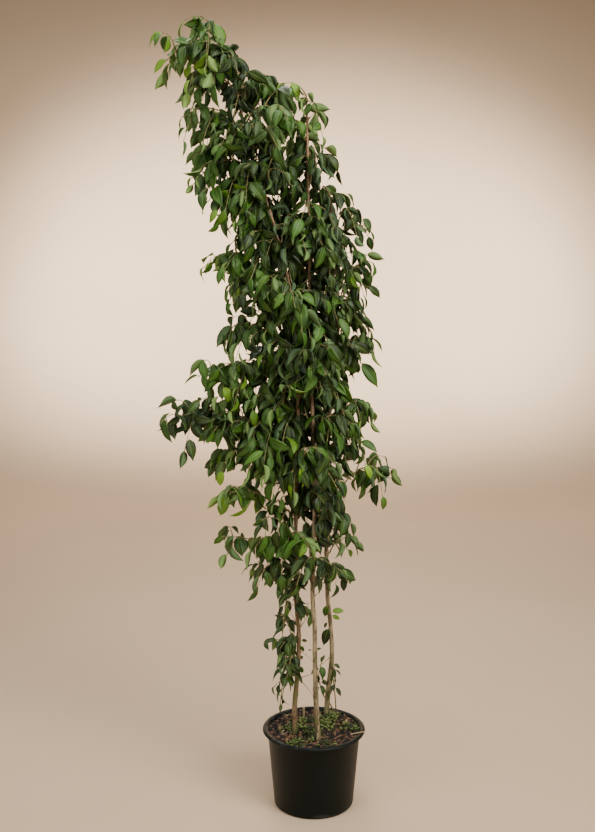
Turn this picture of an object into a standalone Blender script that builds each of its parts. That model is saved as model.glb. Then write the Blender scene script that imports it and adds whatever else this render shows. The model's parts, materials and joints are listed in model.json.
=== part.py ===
"""A tall weeping fig with three slender stems in a round black nursery pot.

Metres, +Z up, the origin at the middle of the pot's underside, -Y towards the front.
Each stem carries leafy sprays. A spray is one solid: an arching twig, its side twigs and their leaves.
"""

import math
import random
from collections import namedtuple

import bmesh
import bpy
import numpy as np
from mathutils import Matrix, Vector
from mathutils.bvhtree import BVHTree

UP = Vector((0.0, 0.0, 1.0))
SEAT_GAP = 0.0003
SCRAP = 0.001

# Pot
POT_HEIGHT = 0.266
POT_BASE_RADIUS = 0.133
POT_NECK_RADIUS = 0.1555
POT_LIP_RADIUS = 0.172
POT_LIP_DEPTH = 0.0075
POT_LIP_CROWN = 0.0062
POT_WALL = 0.0022
POT_FLOOR = 0.004
POT_CORNER_RADIUS = 0.008
POT_SIDES = 32
DRAIN_HOLES = 4
DRAIN_HOLE_RADIUS = 0.007
DRAIN_CIRCLE_RADIUS = 0.088

# Soil: its rim height, its dome, and mounds as (x, y, radius, rise)
SOIL_EDGE_HEIGHT = 0.256
SOIL_DOME = 0.006
SOIL_RINGS = 4
SOIL_MOUNDS = (
    (-0.060, -0.035, 0.040, 0.005),
    (0.052, 0.082, 0.045, 0.006),
    (0.025, -0.045, 0.040, 0.003),
    (0.105, -0.010, 0.035, 0.004),
)

# Woody stems: the points that each one passes, from its foot in the soil to its tip
STEM_BEVEL = 2
STEM_SEGMENTS = 20
STEMS = {
    "left": (
        (-0.062, -0.042, 0.170), (-0.063, -0.040, 0.262), (-0.064, -0.035, 0.354), (-0.058, -0.030, 0.429),
        (-0.052, -0.024, 0.504), (-0.051, -0.018, 0.605), (-0.061, -0.012, 0.740), (-0.059, -0.010, 1.050), (-0.054, -0.015, 1.330), (-0.058, -0.018, 1.560),
        (-0.080, -0.020, 1.740), (-0.128, -0.022, 1.930), (-0.188, -0.018, 2.120), (-0.228, -0.010, 2.280),
        (-0.258, -0.004, 2.395), (-0.298, 0.000, 2.455),
    ),
    "middle": (
        (0.018, -0.104, 0.170), (0.014, -0.100, 0.262), (0.006, -0.092, 0.386), (0.002, -0.078, 0.530),
        (0.001, -0.064, 0.639), (-0.006, -0.048, 0.760), (0.000, -0.026, 0.990), (-0.003, -0.004, 1.217), (-0.010, 0.012, 1.420),
        (-0.016, 0.022, 1.640), (-0.019, 0.024, 1.881), (-0.022, 0.018, 2.070), (-0.026, 0.010, 2.270),
    ),
    "right": (
        (0.043, 0.092, 0.175), (0.046, 0.092, 0.262), (0.048, 0.091, 0.330), (0.062, 0.087, 0.475),
        (0.057, 0.084, 0.590), (0.045, 0.078, 0.720), (0.041, 0.072, 0.991), (0.046, 0.068, 1.240),
        (0.062, 0.064, 1.440), (0.076, 0.058, 1.610), (0.066, 0.050, 1.820), (0.048, 0.042, 2.010),
    ),
}
STEM_RADIUS_AT = (
    (0.15, 0.0086), (0.36, 0.0084), (0.50, 0.0076), (1.00, 0.0068), (1.60, 0.0052), (2.45, 0.0024),
)
STEM_GIRTH = {"left": 0.84, "middle": 1.0, "right": 0.96}

# Two thin leafy suckers and a cut stub that stand in the soil
SUCKERS = {
    "sucker_right": (
        (0.079, 0.112, 0.228), (0.078, 0.110, 0.272), (0.076, 0.104, 0.315), (0.071, 0.094, 0.363),
        (0.067, 0.082, 0.410), (0.070, 0.070, 0.452),
    ),
    "sucker_middle": (
        (0.070, 0.122, 0.228), (0.066, 0.124, 0.272), (0.054, 0.122, 0.300), (0.035, 0.112, 0.328),
        (0.023, 0.098, 0.370), (0.018, 0.090, 0.410), (0.025, 0.084, 0.452),
    ),
}
SUCKER_RADIUS = (0.0028, 0.0013)
SUCKER_SEGMENTS = 7
SUCKER_BARE_SHARE = 0.58
STUB = ((-0.033, 0.092, 0.228), (-0.034, 0.092, 0.294))
STUB_RADIUS = 0.0045

# The crown's outline for the ordinary sprays, by the height of their roots, over which they arch:
# height, left edge, right edge, half depth
CROWN = (
    (0.70, -0.20, 0.08, 0.12), (0.90, -0.20, 0.07, 0.15), (1.00, -0.23, 0.09, 0.17),
    (1.20, -0.29, 0.13, 0.20), (1.30, -0.28, 0.12, 0.20), (1.50, -0.25, 0.080, 0.19),
    (1.65, -0.235, 0.072, 0.19), (1.80, -0.25, 0.055, 0.18), (1.90, -0.29, 0.045, 0.17),
    (2.00, -0.36, 0.025, 0.16), (2.20, -0.39, -0.01, 0.15), (2.30, -0.42, -0.13, 0.12),
    (2.40, -0.45, -0.26, 0.08),
)
CROWN_MIDDLE_Y = 0.015
LEAF_OVERHANG = 0.035

# Named sprays: stem, height of the root on it (above its tip means at the tip), azimuth in degrees
# (0 right, 90 back, 180 left, 270 front), reach, the heights above the root of the arch's control
# point and of its tip, and, where they aren't the usual ones, its leaves' scale and its bare share
STEM_TIP = 9.0
SPRAY_BARE_SHARE = 0.18
Spray = namedtuple("Spray", "name stem height azimuth reach crest tip leaf_scale bare_share",
                   defaults=(1.0, SPRAY_BARE_SHARE))
NAMED_SPRAYS = (
    Spray("spray_plume_left", "left", STEM_TIP, 182, 0.150, 0.055, -0.030),
    Spray("spray_plume_top", "left", 2.430, 200, 0.070, 0.128, 0.112, 1.15),
    Spray("spray_plume_low", "left", 2.340, 190, 0.130, 0.080, -0.020),
    Spray("spray_plume_right", "left", 2.330, 20, 0.080, 0.050, 0.000),
    Spray("spray_crest_right", "left", 2.240, -25, 0.120, 0.080, 0.020),
    Spray("spray_shoulder_left", "left", 2.200, 176, 0.185, 0.130, 0.065),
    Spray("spray_curtain_left", "left", 2.080, 188, 0.190, 0.110, -0.020),
    Spray("spray_tip_middle", "middle", STEM_TIP, 255, 0.028, 0.070, 0.040, 0.85),
    Spray("spray_tip_middle_left", "middle", 2.190, 200, 0.090, 0.110, 0.060),
    Spray("spray_tip_right", "right", STEM_TIP, 150, 0.030, 0.050, 0.025),
    Spray("spray_left_cluster_upper", "left", 1.740, 180, 0.225, 0.150, 0.075),
    Spray("spray_left_cluster_middle", "left", 1.510, 176, 0.200, 0.150, 0.100),
    Spray("spray_left_cluster_lower", "left", 1.350, 184, 0.300, 0.210, 0.110),
    Spray("spray_bough_left", "left", 1.160, 180, 0.405, 0.270, 0.145),
    Spray("spray_bough_left_low", "left", 1.040, 172, 0.245, 0.235, 0.150, 1.0, 0.40),
    Spray("spray_left_low", "left", 0.930, 183, 0.228, 0.220, 0.130, 1.1, 0.55),
    Spray("spray_left_whip", "left", 0.820, 178, 0.225, 0.110, 0.105, 0.9, 0.76),
    Spray("spray_hanging_upper", "left", 0.760, 186, 0.034, 0.060, -0.190, 0.75),
    Spray("spray_hanging_lower", "left", 0.590, 192, 0.050, 0.045, -0.225, 0.70),
    Spray("spray_right_upper", "right", 1.700, 2, 0.065, 0.130, 0.090),
    Spray("spray_right_middle", "right", 1.450, -14, 0.055, 0.120, 0.070),
    Spray("spray_right_shoulder", "right", 1.240, 4, 0.110, 0.160, 0.110),
    Spray("spray_bough_right", "right", 1.000, -2, 0.200, 0.200, 0.120, 1.0, 0.45),
    Spray("spray_right_low", "right", 0.850, -25, 0.060, 0.070, 0.025, 0.9, 0.50),
)

# Ordinary sprays: for each stem the lowest root, the highest root, how many, and the first azimuth
ORDINARY_SPRAYS = {
    "left": (0.84, 2.26, 10, 250.0),
    "middle": (0.80, 2.08, 10, 275.0),
    "right": (0.84, 1.84, 8, 60.0),
}
ROOT_SPACING = 0.03
GOLDEN_ANGLE = 137.508
SHORTEST_REACH = 0.045
REACH_SHARE = (0.62, 1.06)
CREST_OF_REACH = (0.09, 0.85)
TIP_RISE = 0.018
TIP_OF_REACH = (0.2, 1.1)
CONTROL_SHARE = 0.42
SIDESTEP_DEG = 8.0
SIDESTEPS = 24
CLEAR_OF_WOOD = 0.013
FINE_STEPS = 24

# Twigs: of a spray's side twigs, at an even pitch, every fourth one is built
SPRAY_RADIUS = (0.0030, 0.0014)
TWIG_RADIUS = (0.0016, 0.0012)
TWIG_SIDES = 3
SPRAY_SEGMENTS = 5
TWIG_SEGMENTS = 2
ROOT_SHANK = 0.005
TWIG_BARE_SHARE = 0.25
TWIG_PITCH = 0.032
TWIGS_BUILT_OF = 4
TWIG_REACH = (0.055, 0.105)
TWIG_FALL = (-0.7, 1.5)

# Leaves: a leaf's cage has rings at these shares of the blade, with these shares of its half width
LEAF_LENGTH = (0.052, 0.080)
SUCKER_LEAF_SCALE = 0.5
LEAF_WIDTH_SHARE = 0.46
LEAF_PITCH = 0.0175
STEEP = 0.88
LEAF_FALL = (0.45, 1.9)
LEAF_CURL = 0.60
LEAF_RINGS = ((0.0, 0.10), (0.30, 1.0), (0.66, 0.62))
LEAF_KEEL = 0.0017
PETIOLE = 0.009
LEAF_CLEARANCE = 0.0008
LEAVES_IN_ALL = 375
FIRST_CHOICE = 9.0
Leaf = namedtuple("Leaf", "root petiole along normal length width")

COLOURS = {
    "pot": ((0.012, 0.012, 0.012, 1.0), 0.45),
    "soil": ((0.045, 0.026, 0.016, 1.0), 0.95),
    "bark": ((0.260, 0.180, 0.110, 1.0), 0.80),
    "leaf": ((0.045, 0.130, 0.022, 1.0), 0.40),
}


def clear_scene():
    for obj in list(bpy.data.objects):
        bpy.data.objects.remove(obj, do_unlink=True)


def new_collection(name, hidden=False):
    collection = bpy.data.collections.new(name)
    bpy.context.scene.collection.children.link(collection)
    collection.hide_render = hidden
    return collection


def new_material(name, finish):
    colour, roughness = COLOURS[finish]
    material = bpy.data.materials.new(name)
    material.use_nodes = True
    shader = material.node_tree.nodes["Principled BSDF"]
    shader.inputs["Base Color"].default_value = colour
    shader.inputs["Roughness"].default_value = roughness
    shader.inputs["Metallic"].default_value = 0.0
    return material


def add_object(name, data, collection, finish=None):
    obj = bpy.data.objects.new(name, data)
    collection.objects.link(obj)
    if finish:
        data.materials.clear()
        data.materials.append(new_material(name, finish))
    return obj


def applied(obj, finish=None):
    """Swaps an object for a plain mesh of its evaluated shape, welded and facing out, under the same name."""
    graph = bpy.context.evaluated_depsgraph_get()
    mesh = bpy.data.meshes.new_from_object(obj.evaluated_get(graph))
    mesh.transform(obj.matrix_world)
    bm = bmesh.new()
    bm.from_mesh(mesh)
    bmesh.ops.remove_doubles(bm, verts=bm.verts, dist=1e-6)
    bmesh.ops.recalc_face_normals(bm, faces=bm.faces)
    bm.to_mesh(mesh)
    bm.free()
    name = obj.name
    collection = obj.users_collection[0]
    bpy.data.objects.remove(obj, do_unlink=True)
    return add_object(name, mesh, collection, finish)


def drop_scraps(mesh):
    """Deletes the specks that a union can leave loose between leaves that graze each other."""
    bm = bmesh.new()
    bm.from_mesh(mesh)
    unseen = set(bm.faces)
    scraps = []
    while unseen:
        body = [unseen.pop()]
        for face in body:
            neighbours = {other for edge in face.edges for other in edge.link_faces} & unseen
            unseen -= neighbours
            body += neighbours
        corner = body[0].verts[0].co
        if max((vertex.co - corner).length for face in body for vertex in face.verts) < SCRAP:
            scraps += body
    bmesh.ops.delete(bm, geom=scraps, context="FACES")
    bm.to_mesh(mesh)
    bm.free()


def boolean(obj, collection, operation, solver="EXACT"):
    modifier = obj.modifiers.new(operation.lower(), "BOOLEAN")
    modifier.operation = operation
    modifier.operand_type = "COLLECTION"
    modifier.collection = collection
    modifier.solver = solver


def as_cutter(obj):
    obj.hide_render = True
    obj.display_type = "WIRE"


def smooth_shaded(obj, angle_deg):
    obj.data.shade_smooth()
    obj.data.set_sharp_from_angle(angle=math.radians(angle_deg))


def between(table, at):
    """Straight-line reading of a table whose rows begin with their position."""
    for low, high in zip(table, table[1:]):
        if at <= high[0]:
            share = max(0.0, (at - low[0]) / (high[0] - low[0]))
            return tuple(a + (b - a) * share for a, b in zip(low[1:], high[1:]))
    return tuple(table[-1][1:])


def tapered(ends, count):
    return [ends[0] + (ends[1] - ends[0]) * i / (count - 1) for i in range(count)]


def arc(centre, radius, start_deg, end_deg, steps, height=None):
    """Points of an arc in the half section's plane, both ends included: round, or of another height."""
    for i in range(steps + 1):
        angle = math.radians(start_deg + (end_deg - start_deg) * i / steps)
        yield centre[0] + radius * math.cos(angle), centre[1] + (height or radius) * math.sin(angle)


def turned(name, profile, collection):
    """A solid of revolution from a half section of (radius, height) points."""
    mesh = bpy.data.meshes.new(name)
    mesh.from_pydata([(r, 0.0, z) for r, z in profile], [(i, i + 1) for i in range(len(profile) - 1)], [])
    obj = add_object(name, mesh, collection)
    screw = obj.modifiers.new("turn", "SCREW")
    screw.steps = POT_SIDES
    screw.render_steps = POT_SIDES
    screw.use_merge_vertices = True
    screw.merge_threshold = 0.00001
    return obj


def wall_radius(height):
    """Outer radius of the pot's tapered wall."""
    return POT_BASE_RADIUS + (POT_NECK_RADIUS - POT_BASE_RADIUS) * height / (POT_HEIGHT - POT_LIP_DEPTH)


def pot_profile():
    """From the inner floor's middle, up the inside, over the rolled lip and down the outside."""
    lip_foot = POT_HEIGHT - POT_LIP_DEPTH
    bend = (POT_LIP_RADIUS - POT_NECK_RADIUS + POT_WALL) / 2
    middle = (POT_LIP_RADIUS - bend, POT_HEIGHT - POT_LIP_CROWN)
    points = [(0.0, POT_FLOOR), (wall_radius(POT_FLOOR) - POT_WALL, POT_FLOOR)]
    points += arc(middle, bend, 180, 0, 5, POT_LIP_CROWN)
    points += [(POT_LIP_RADIUS, lip_foot), (POT_LIP_RADIUS - POT_WALL, lip_foot)]
    points += arc(middle, bend - POT_WALL, 0, 180, 2, POT_LIP_CROWN - POT_WALL)
    corner = (wall_radius(POT_CORNER_RADIUS) - POT_CORNER_RADIUS, POT_CORNER_RADIUS)
    points += arc(corner, POT_CORNER_RADIUS, 0, -90, 2)
    points.append((0.0, 0.0))
    return points


def make_pot(parts):
    """The thin tapered pot with its rolled lip."""
    pot = applied(turned("pot", pot_profile(), parts), "pot")
    smooth_shaded(pot, 40)
    return pot


def make_drain_holes():
    """Cutters for the drain holes through the pot's floor."""
    holes = new_collection("drain_holes", hidden=True)
    for i in range(DRAIN_HOLES):
        place = level(360 * i / DRAIN_HOLES) * DRAIN_CIRCLE_RADIUS
        mesh = bpy.data.meshes.new(f"drain_hole_{i}")
        bm = bmesh.new()
        bmesh.ops.create_cone(bm, cap_ends=True, segments=8, radius1=DRAIN_HOLE_RADIUS,
                              radius2=DRAIN_HOLE_RADIUS, depth=POT_FLOOR * 4)
        bm.to_mesh(mesh)
        bm.free()
        hole = add_object(mesh.name, mesh, holes)
        hole.location = place
        as_cutter(hole)
    return holes


def soil_relief(x, y):
    """How far the soil's surface rises above its edge."""
    share = min(1.0, math.hypot(x, y) / (wall_radius(SOIL_EDGE_HEIGHT) - POT_WALL))
    height = SOIL_DOME * (1 - share * share)
    for mound_x, mound_y, radius, rise in SOIL_MOUNDS:
        away = math.hypot(x - mound_x, y - mound_y) / radius
        height += rise * math.exp(-away * away)
    return height + 0.0025 * math.sin(61 * x + 1.0) * math.cos(53 * y) * (1 - share)


def make_soil(parts):
    """The root ball, which fills the pot to a mounded surface."""
    bottom = POT_FLOOR + SEAT_GAP
    inset = POT_WALL + SEAT_GAP
    edge = wall_radius(SOIL_EDGE_HEIGHT) - inset
    profile = [(edge * i / SOIL_RINGS, SOIL_EDGE_HEIGHT) for i in range(SOIL_RINGS + 1)]
    profile += [(wall_radius(bottom) - inset, bottom), (0.0, bottom)]
    soil = applied(turned("soil", profile, parts), "soil")
    for vertex in soil.data.vertices:
        if vertex.co.z > bottom + SEAT_GAP and vertex.co.xy.length < edge * 0.95:
            vertex.co.z += soil_relief(vertex.co.x, vertex.co.y)
    return soil


def smooth_route(points, count):
    """count + 1 points, evenly spread, on a smooth curve through the given ones."""
    knots = [Vector(p) for p in points]
    padded = [2 * knots[0] - knots[1], *knots, 2 * knots[-1] - knots[-2]]
    spans = len(knots) - 1
    route = []
    for i in range(count + 1):
        place = spans * i / count
        k = min(int(place), spans - 1)
        t = place - k
        a, b, c, d = padded[k:k + 4]
        route.append(0.5 * (2 * b + (c - a) * t + (2 * a - 5 * b + 4 * c - d) * t * t
                            + (3 * b - a - 3 * c + d) * t ** 3))
    return route


def twig_section(guides):
    """The outline that a twig's curve is swept with."""
    curve = bpy.data.curves.new("twig_section", "CURVE")
    curve.dimensions = "2D"
    spline = curve.splines.new("POLY")
    spline.points.add(TWIG_SIDES - 1)
    for i, knot in enumerate(spline.points):
        angle = 2 * math.pi * i / TWIG_SIDES
        knot.co = (math.cos(angle), math.sin(angle), 0.0, 1.0)
    spline.use_cyclic_u = True
    guide = add_object("twig_section", curve, guides)
    as_cutter(guide)
    return guide


def tube(name, points, radii, collection, finish=None, section=None):
    """A closed tube along the points, as a mesh: a round one, or one swept with a section."""
    curve = bpy.data.curves.new(name, "CURVE")
    curve.dimensions = "3D"
    curve.use_fill_caps = True
    if section:
        curve.bevel_mode = "OBJECT"
        curve.bevel_object = section
    else:
        curve.bevel_depth = 1.0
        curve.bevel_resolution = STEM_BEVEL
    spline = curve.splines.new("POLY")
    spline.points.add(len(points) - 1)
    for knot, point, radius in zip(spline.points, points, radii):
        knot.co = (*point, 1.0)
        knot.radius = radius
    return applied(add_object(name, curve, collection), finish)


def stand_in_soil(name, route, radii, holes, section=None):
    """A cutter that follows a stem, a seat's gap wider and deeper all round."""
    gap = 1.5 * SEAT_GAP
    foot = route[0] + (route[0] - route[1]).normalized() * gap
    as_cutter(tube(f"hole_for_{name}", [foot, *route[1:]], [r + gap for r in radii], holes, None, section))


STEM_ROUTES = {stem: smooth_route(points, STEM_SEGMENTS) for stem, points in STEMS.items()}


def stem_radius(stem, height):
    return between(STEM_RADIUS_AT, height)[0] * STEM_GIRTH[stem]


def make_stems(parts, holes):
    """The three woody stems."""
    stems = []
    for stem, route in STEM_ROUTES.items():
        radii = [stem_radius(stem, p.z) for p in route]
        stems.append(tube(f"stem_{stem}", route, radii, parts, "bark"))
        smooth_shaded(stems[-1], 50)
        stand_in_soil(f"stem_{stem}", route, radii, holes)
    return stems


def make_stub(parts, holes):
    """What is left of a stem that was cut just above the soil."""
    route = [Vector(p) for p in STUB]
    radii = [STUB_RADIUS, STUB_RADIUS]
    stand_in_soil("stub", route, radii, holes)
    return tube("stub", route, radii, parts, "bark")


def stem_place(stem, height):
    """The middle of a stem at a height, or its tip, and the stem's direction there."""
    route = STEM_ROUTES[stem]
    for low, high in zip(route, route[1:]):
        if high.z >= height:
            return low.lerp(high, (height - low.z) / (high.z - low.z)), (high - low).normalized()
    return route[-1], (route[-1] - route[-2]).normalized()


def crown_reach(point, heading):
    """How far a point is from the crown's outline along a level heading."""
    left, right, half_depth = between(CROWN, point.z)
    half_width = (right - left) / 2
    u = Vector(((point.x - (left + right) / 2) / half_width, (point.y - CROWN_MIDDLE_Y) / half_depth))
    v = Vector((heading.x / half_width, heading.y / half_depth))
    a, b, c = v.dot(v), 2 * u.dot(v), u.dot(u) - 1
    room = b * b - 4 * a * c
    return (math.sqrt(room) - b) / (2 * a) if room > 0 else 0.0


def level(azimuth_deg):
    azimuth = math.radians(azimuth_deg)
    return Vector((math.cos(azimuth), math.sin(azimuth), 0.0))


def arch(root, heading, reach, crest, tip, steps, sway=0.0):
    """An arching twig: it climbs from its root, bends over and comes down to its tip."""
    top = root + heading * reach * CONTROL_SHARE + UP * crest
    end = root + heading * reach + UP * tip
    side = UP.cross(heading)
    points = []
    for i in range(steps + 1):
        t = i / steps
        middle = root * (1 - t) ** 2 + top * 2 * t * (1 - t) + end * t * t
        points.append(middle + side * sway * math.sin(math.pi * t) * t)
    return points


def spray_route(spray, steps):
    """The spray's main twig, with a short shank that leaves the stem's bark squarely."""
    middle, direction = stem_place(spray.stem, spray.height)
    heading = level(spray.azimuth)
    sway = random.Random(spray.name).uniform(-0.12, 0.12) * spray.reach
    if spray.height == STEM_TIP:
        root = middle + direction * SEAT_GAP
        start = root + direction * ROOT_SHANK
    else:
        out = (heading - direction * heading.dot(direction)).normalized()
        root = middle + out * (stem_radius(spray.stem, middle.z) + SEAT_GAP)
        start = root + out * ROOT_SHANK
    return [root, *arch(start, heading, spray.reach, spray.crest, spray.tip, steps, sway)]


def ordinary_sprays():
    """Sprays spread up each stem, turned on by the golden angle. Their reach is settled in aiming them."""
    sprays = []
    for stem, (low, high, count, first_azimuth) in ORDINARY_SPRAYS.items():
        for i in range(count):
            name = f"spray_{stem}_{i + 1:02d}"
            nudge = random.Random(name).uniform(-0.2, 0.2)
            height = low + (high - low) * min(1.0, max(0.0, (i + nudge) / (count - 1)))
            while any(s.stem == stem and abs(s.height - height) < ROOT_SPACING for s in NAMED_SPRAYS):
                height += ROOT_SPACING / 2
            sprays.append(Spray(name, stem, height, first_azimuth + GOLDEN_ANGLE * i, None, None, None))
    return sprays


def aimed(spray, turn):
    """The spray turned by some degrees; one without a reach goes to the crown's outline there."""
    azimuth = (spray.azimuth + turn) % 360
    if spray.reach:
        return spray._replace(azimuth=azimuth)
    place, _ = stem_place(spray.stem, spray.height)
    draw = random.Random(spray.name + " reach")
    reach = crown_reach(place, level(azimuth)) * draw.uniform(*REACH_SHARE) - LEAF_OVERHANG
    reach = max(SHORTEST_REACH, reach)
    crest = CREST_OF_REACH[0] + CREST_OF_REACH[1] * reach
    tip = TIP_RISE + reach * draw.uniform(*TIP_OF_REACH)
    return spray._replace(azimuth=azimuth, reach=reach, crest=crest, tip=tip)


def as_array(route):
    return np.array([tuple(p) for p in route])


def least_distance(points, others):
    return np.sqrt(((points[:, None] - others[None]) ** 2).sum(axis=2)).min()


def plan_sprays():
    """All sprays, each turned aside by small steps until its twig is clear of stems and earlier twigs."""
    stems = np.concatenate([as_array(smooth_route(points, 160)) for points in STEMS.values()])
    twigs = np.concatenate([as_array(smooth_route(points, 60)) for points in SUCKERS.values()])
    placed = []
    for spray in [*NAMED_SPRAYS, *ordinary_sprays()]:
        best_gap, best, best_points = -1.0, None, None
        for step in range(SIDESTEPS):
            turn = SIDESTEP_DEG * ((step + 1) // 2) * (-1) ** step
            tried = aimed(spray, turn)
            points = as_array(spray_route(tried, FINE_STEPS))
            gap = min(least_distance(points[FINE_STEPS // 6:], stems), least_distance(points, twigs))
            if gap > best_gap:
                best_gap, best, best_points = gap, tried, points
            if gap > CLEAR_OF_WOOD:
                break
        placed.append(best)
        twigs = np.concatenate([twigs, best_points])
    return placed


def length_of(route):
    return sum((b - a).length for a, b in zip(route, route[1:]))


def point_along(route, share):
    """The point and the direction at a share of a route's points."""
    place = share * (len(route) - 1)
    k = min(int(place), len(route) - 2)
    return route[k].lerp(route[k + 1], place - k), (route[k + 1] - route[k]).normalized()


def side_twigs(spray, main, steps):
    """Routes of a spray's side twigs, which leave it on either side by turns and weep."""
    draw = random.Random(spray.name + " twigs")
    count = max(1, round(length_of(main) * (1 - spray.bare_share) / TWIG_PITCH))
    routes = []
    for i in range(count):
        share = spray.bare_share + (0.95 - spray.bare_share) * (i + 0.5) / count
        root, tangent = point_along(main, share)
        turn = math.radians(draw.uniform(35, 75)) * (-1) ** i
        flat = Vector((tangent.x, tangent.y, 0.0))
        flat = flat.normalized() if flat.length > 0.2 else level(draw.uniform(0, 360))
        heading = Matrix.Rotation(turn, 3, "Z") @ flat
        reach = draw.uniform(*TWIG_REACH) * (1.15 - 0.35 * share) * spray.leaf_scale
        fall = draw.uniform(*TWIG_FALL) * reach
        routes.append(arch(root, heading, reach, reach * 0.3 + max(0.0, -fall), -fall, steps))
    return routes


def leaves_along(route, bare_share, scale, name):
    """Leaves at an even pitch along a twig, on either side by turns, hanging with their faces outwards."""
    draw = random.Random(name + " leaves")
    count = max(1, int(length_of(route) * (1 - bare_share) / (LEAF_PITCH * scale)))
    leaves = []
    for i in range(count + 1):
        last = i == count
        root, tangent = point_along(route, (bare_share + (1 - bare_share) * i / count) * 0.995)
        side = UP.cross(tangent) * (-1) ** i
        if abs(tangent.z) > STEEP:
            side = level(GOLDEN_ANGLE * i + draw.uniform(-30, 30))
        side = (side - tangent * side.dot(tangent)).normalized()
        petiole = (tangent * (1.0 if last else draw.uniform(0.2, 0.7)) + side * (0.15 if last else 0.8)
                   + UP * draw.uniform(-0.1, 0.5)).normalized()
        wander = Vector([draw.uniform(-0.25, 0.25) for _ in range(3)])
        along = (petiole - UP * draw.uniform(*LEAF_FALL) + wander).normalized()
        face = tangent * draw.uniform(0.1, 0.6) + side * draw.uniform(0.2, 0.9) + UP * draw.uniform(0.3, 1.0)
        normal = (face - along * face.dot(along)).normalized()
        length = draw.uniform(*LEAF_LENGTH) * scale * (0.82 if last else 1.0)
        width = length * LEAF_WIDTH_SHARE * draw.uniform(0.87, 1.13)
        leaves.append(Leaf(root, petiole, along, normal, length, width))
    return leaves


def leaf_cage():
    """A three-sided ball as a leaf's cage: its mesh, and each vertex's ring, side and whether it is the keel.

    Each ring has a left margin, a right margin and, under the midrib, the keel.
    """
    bm = bmesh.new()
    bmesh.ops.create_uvsphere(bm, u_segments=3, v_segments=4, radius=1.0)
    bmesh.ops.triangulate(bm, faces=bm.faces)
    bmesh.ops.recalc_face_normals(bm, faces=bm.faces)
    bm.verts.ensure_lookup_table()
    marks = []
    for vertex in bm.verts:
        ring = round(math.acos(max(-1.0, min(1.0, vertex.co.z))) / (math.pi / 4))
        flat = vertex.co.xy / max(1e-6, vertex.co.xy.length)
        marks.append((ring, (flat.y > 0.5) - (flat.y < -0.5), flat.x > 0.5))
    mesh = bpy.data.meshes.new("leaf_cage")
    bm.to_mesh(mesh)
    bm.free()
    return mesh, marks


def leaf_points(leaf, marks, grow=0.0):
    """The cage bent into a leaf: a petiole from inside the twig, then a curling blade with a keel below.

    The blade's first ring lies square to the bend between the petiole and the blade. grow swells the
    leaf all round, to test how near it comes to what hangs beside it.
    """
    across = leaf.along.cross(leaf.normal).normalized()
    neck = leaf.root + leaf.petiole * PETIOLE
    turn = (leaf.petiole + leaf.along).normalized()
    neck_across = (across - turn * across.dot(turn)).normalized()
    points = []
    for ring, side, keel in marks:
        if ring == 0:
            points.append(leaf.root - leaf.petiole * TWIG_RADIUS[1] * 0.5)
            continue
        share, spread = (1.0, 0.0) if ring == 4 else LEAF_RINGS[ring - 1]
        bend = LEAF_CURL * share
        middle = neck + leaf.along * (leaf.length * math.sin(bend) / LEAF_CURL + grow * share)
        middle -= leaf.normal * leaf.length * (1 - math.cos(bend)) / LEAF_CURL
        if ring < 4:
            sideways = neck_across if ring == 1 else across
            upper = leaf.normal * math.cos(bend) + leaf.along * math.sin(bend)
            upper = neck_across.cross(turn) if ring == 1 else upper
            middle += sideways * side * (spread * leaf.width / 2 + grow)
            middle += upper * (-LEAF_KEEL - grow if keel else grow)
        points.append(middle)
    return points


class Thicket:
    """What has been placed so far, to tell whether something new is clear of it."""

    def __init__(self):
        self.rows = []

    def add(self, name, points, faces):
        low = [min(p[i] for p in points) for i in range(3)]
        high = [max(p[i] for p in points) for i in range(3)]
        self.rows.append((name, low, high, BVHTree.FromPolygons(points, faces)))

    def add_object(self, obj):
        points = [obj.matrix_world @ v.co for v in obj.data.vertices]
        self.add(obj.name, points, [tuple(p.vertices) for p in obj.data.polygons])

    def meets(self, points, faces, wanted):
        """Whether the shape touches a row whose name is wanted."""
        low = [min(p[i] for p in points) for i in range(3)]
        high = [max(p[i] for p in points) for i in range(3)]
        tree = BVHTree.FromPolygons(points, faces)
        for name, other_low, other_high, other in self.rows:
            apart = any(low[i] > other_high[i] or high[i] < other_low[i] for i in range(3))
            if not apart and wanted(name) and tree.overlap(other):
                return True
        return False


def rough_tube(route, radii, extra):
    """A plain four-sided tube round a route, as points and faces, for testing what it would touch."""
    points, faces = [], []
    for i, (place, radius) in enumerate(zip(route, radii)):
        tangent = (route[min(i + 1, len(route) - 1)] - route[max(i - 1, 0)]).normalized()
        side = tangent.orthogonal().normalized()
        other = tangent.cross(side)
        size = 1.2 * (radius + extra)
        points += [place + side * size, place + other * size, place - side * size, place - other * size]
        if i:
            low, high = 4 * (i - 1), 4 * i
            faces += [(low + k, low + (k + 1) % 4, high + (k + 1) % 4, high + k) for k in range(4)]
    return points, faces


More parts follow.
